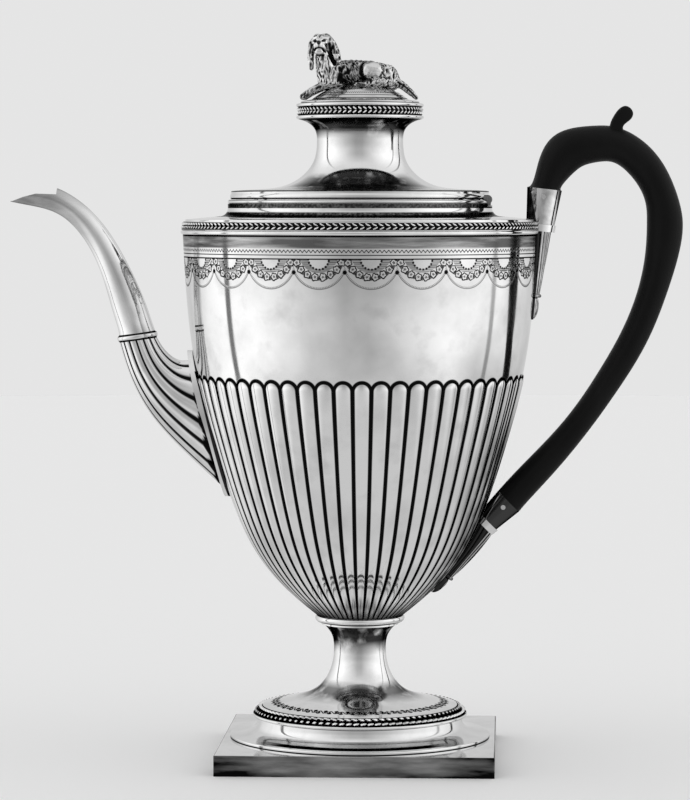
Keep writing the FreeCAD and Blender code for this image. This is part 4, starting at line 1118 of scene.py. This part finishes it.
def carvedLines(points):
    # how deep each point lies in the cut lines, from 0 to 1
    carved = np.zeros(len(points))
    for width, run in dog["cuts"]:
        for start, end in zip(run, run[1:]):
            way = np.array(end) - np.array(start)
            off = points[:, (0, 2)] - np.array(start)
            share = np.clip(off @ way / (way @ way), 0, 1)
            gap = np.linalg.norm(off - share[:, None] * way, axis=1)
            carved = np.maximum(carved, np.clip(dog["cutEdge"] - gap / width, 0, 1))
    return carved


def makeDog():
    base = Vector((0, 0, high("lid_cap")))
    bm = dogForm(base)
    tarnishAndShadeLayer = bm.verts.layers.float.new("groove")
    carved = carvedLines(np.array([v.co for v in bm.verts]) / mm - np.array(base))
    noise.seed_set(coat["seed"])  # the vector noise differs from run to run without it
    gain, least = dog["facing"]
    moves = []
    for vert, line in zip(bm.verts, carved):
        p = vert.co / mm - base
        depth, ground, lock = coatAt(p)
        line *= between(abs(vert.normal.y) * gain - least) if p.y < 0 or p.x > -8 else 0.0
        lock = Vector(lock) + noise.noise_vector(p * coat["swirlScale"]) * coat["swirl"]
        ridge = 1 - coat["broad"] * abs(noise.noise(lock))
        ridge -= coat["fine"] * abs(noise.noise(lock * coat["fineScale"]))
        # the coat's dark tone: tarnish in the locks and carved lines, and painted shadow on the flank
        tarnishAndShade = max(line, ground + (coat["tarnishAndShadeFrom"] - ridge) * depth * coat["contrast"], 0.0)
        vert[tarnishAndShadeLayer] = 1 - (1 - min(coat["most"], tarnishAndShade)) ** 2
        moves.append((vert, vert.normal * ((depth * (ridge - 0.5) - dog["cutDepth"] * line) * mm)))
    for vert, move in moves:
        vert.co += move
    for centre, size, tone in dog["balls"]:
        place = Matrix.Translation((Vector(centre) + base) * mm)
        made = bmesh.ops.create_uvsphere(bm, u_segments=14, v_segments=9, radius=size * mm, matrix=place)
        for vert in made["verts"]:
            vert[tarnishAndShadeLayer] = tone
    finishMesh("spaniel", bm, castSilver, "lid", ("dog_finial",), sharp=180, merge=0.0000005)


makeDog()
print("dog made")

# pieces that keep their frame shapes

groupSilver = dict(plinth=plinthSilver, spout=spoutSilver, hinge=hingeSilver)
for name, node in nodes.items():
    material = fittingSilver.get(name, groupSilver.get(name.split("_")[0], plainSilver))
    node.data.materials.clear()
    node.data.materials.append(ebony if name == "handle" else material)

# camera, floor and light

view = dict(
    azimuth=2.8, rise=3.29, distance=1.563, lens=152.6, sensor=36, near=0.05, aside=-0.0069, height=0.1649,
)


def makeCamera():
    turn, rise = math.radians(view["azimuth"]), math.radians(view["rise"])
    side = Vector((math.cos(turn), math.sin(turn), 0))
    back = Vector((math.sin(turn) * math.cos(rise), -math.cos(turn) * math.cos(rise), math.sin(rise)))
    target = side * view["aside"] + Vector((0, 0, view["height"]))
    data = bpy.data.cameras.new("camera")
    data.lens = view["lens"]
    data.sensor_width = view["sensor"]
    data.clip_start = view["near"]
    camera = bpy.data.objects.new("camera", data)
    camera.location = target + back * view["distance"]
    camera.rotation_euler = back.to_track_quat("Z", "Y").to_euler()
    bpy.context.scene.collection.objects.link(camera)
    bpy.context.scene.camera = camera


makeCamera()
stage = dict(radius=3.0, tone=0.94, back=0.785, rough=0.8, paper=(900.0, 3.0), depth=0.0001, strength=0.3)


def makeFloor():
    # plain pale floor, which the silver doesn't mirror
    mat, tree, shader = newMaterial("pale_floor", stage["tone"], 0.0, stage["rough"])
    paper = noiseField(tree, objectPoint(tree), *stage["paper"])
    bump(tree, shader, paper, stage["depth"], stage["strength"])
    bm = bmesh.new()
    bmesh.ops.create_circle(bm, cap_ends=True, segments=96, radius=stage["radius"])
    mesh = bpy.data.meshes.new("floor")
    bm.to_mesh(mesh)
    bm.free()
    mesh.materials.append(mat)
    floor = bpy.data.objects.new("floor", mesh)
    bpy.context.scene.collection.objects.link(floor)
    floor.visible_glossy = False


makeFloor()
studio = dict(  # tones, and angles in degrees
    front=0.4, side=1.0, behind=0.6, ceiling=0.66, below=0.52, level=1.24,
    sideFrom=(8, 66), behindFrom=(100, 50), ceilingFrom=(25, 35), belowFrom=(16, 16),
    dim=0.2, dimRise=(0.0, 5.0, 8.0), dimWithin=(40, 70),
    bars=((-95, 2.0, 0.8, 0.85), (101, 1.6, 0.8, 0.6), (127.5, 1.9, 0.5, 1.0)),  # middle, half, edge, depth
    dusky=(118, 26, 24), duskyDepth=0.5, duskyFrom=(6, 12),
)


def makeLight():
    # soft white room, dim towards the camera, with dark uprights at the sides
    world = bpy.data.worlds.new("studio")
    world.use_nodes = True
    tree = world.node_tree
    x, y, z = axes(tree, tree.nodes.new("ShaderNodeTexCoord").outputs["Generated"])
    azimuth = x.angle(y * -1) * (180 / math.pi)
    rise = z.run("ARCSINE") * (180 / math.pi)
    away, fall = azimuth.size(), rise * -1
    tone = away.above(*studio["sideFrom"]) * (studio["side"] - studio["front"]) + studio["front"]
    tone = tone + away.above(*studio["behindFrom"]) * (studio["behind"] - studio["side"])
    dusk = rise.band(*studio["dimRise"]).both(away.within(*studio["dimWithin"]))
    tone = tone.both(dusk * -studio["dim"] + 1)
    for *place, depth in studio["bars"]:
        tone = tone.both(azimuth.band(*place) * -depth + 1)
    dusky = azimuth.band(*studio["dusky"]).both(fall.above(*studio["duskyFrom"]))
    tone = tone.both(dusky * -studio["duskyDepth"] + 1)
    for angle, name in ((rise, "ceiling"), (fall, "below")):
        tone = tone + angle.above(*studio[name + "From"]).both(tone * -1 + studio[name])
    mix = tree.nodes.new("ShaderNodeMix")
    tree.links.new(tree.nodes.new("ShaderNodeLightPath").outputs["Is Camera Ray"], mix.inputs["Factor"])
    tree.links.new((tone * studio["level"]).socket, mix.inputs["A"])
    mix.inputs["B"].default_value = stage["back"]
    tree.links.new(mix.outputs[0], tree.nodes["Background"].inputs["Color"])
    bpy.context.scene.world = world


makeLight()
settings = bpy.context.scene.view_settings
settings.view_transform = "Standard"
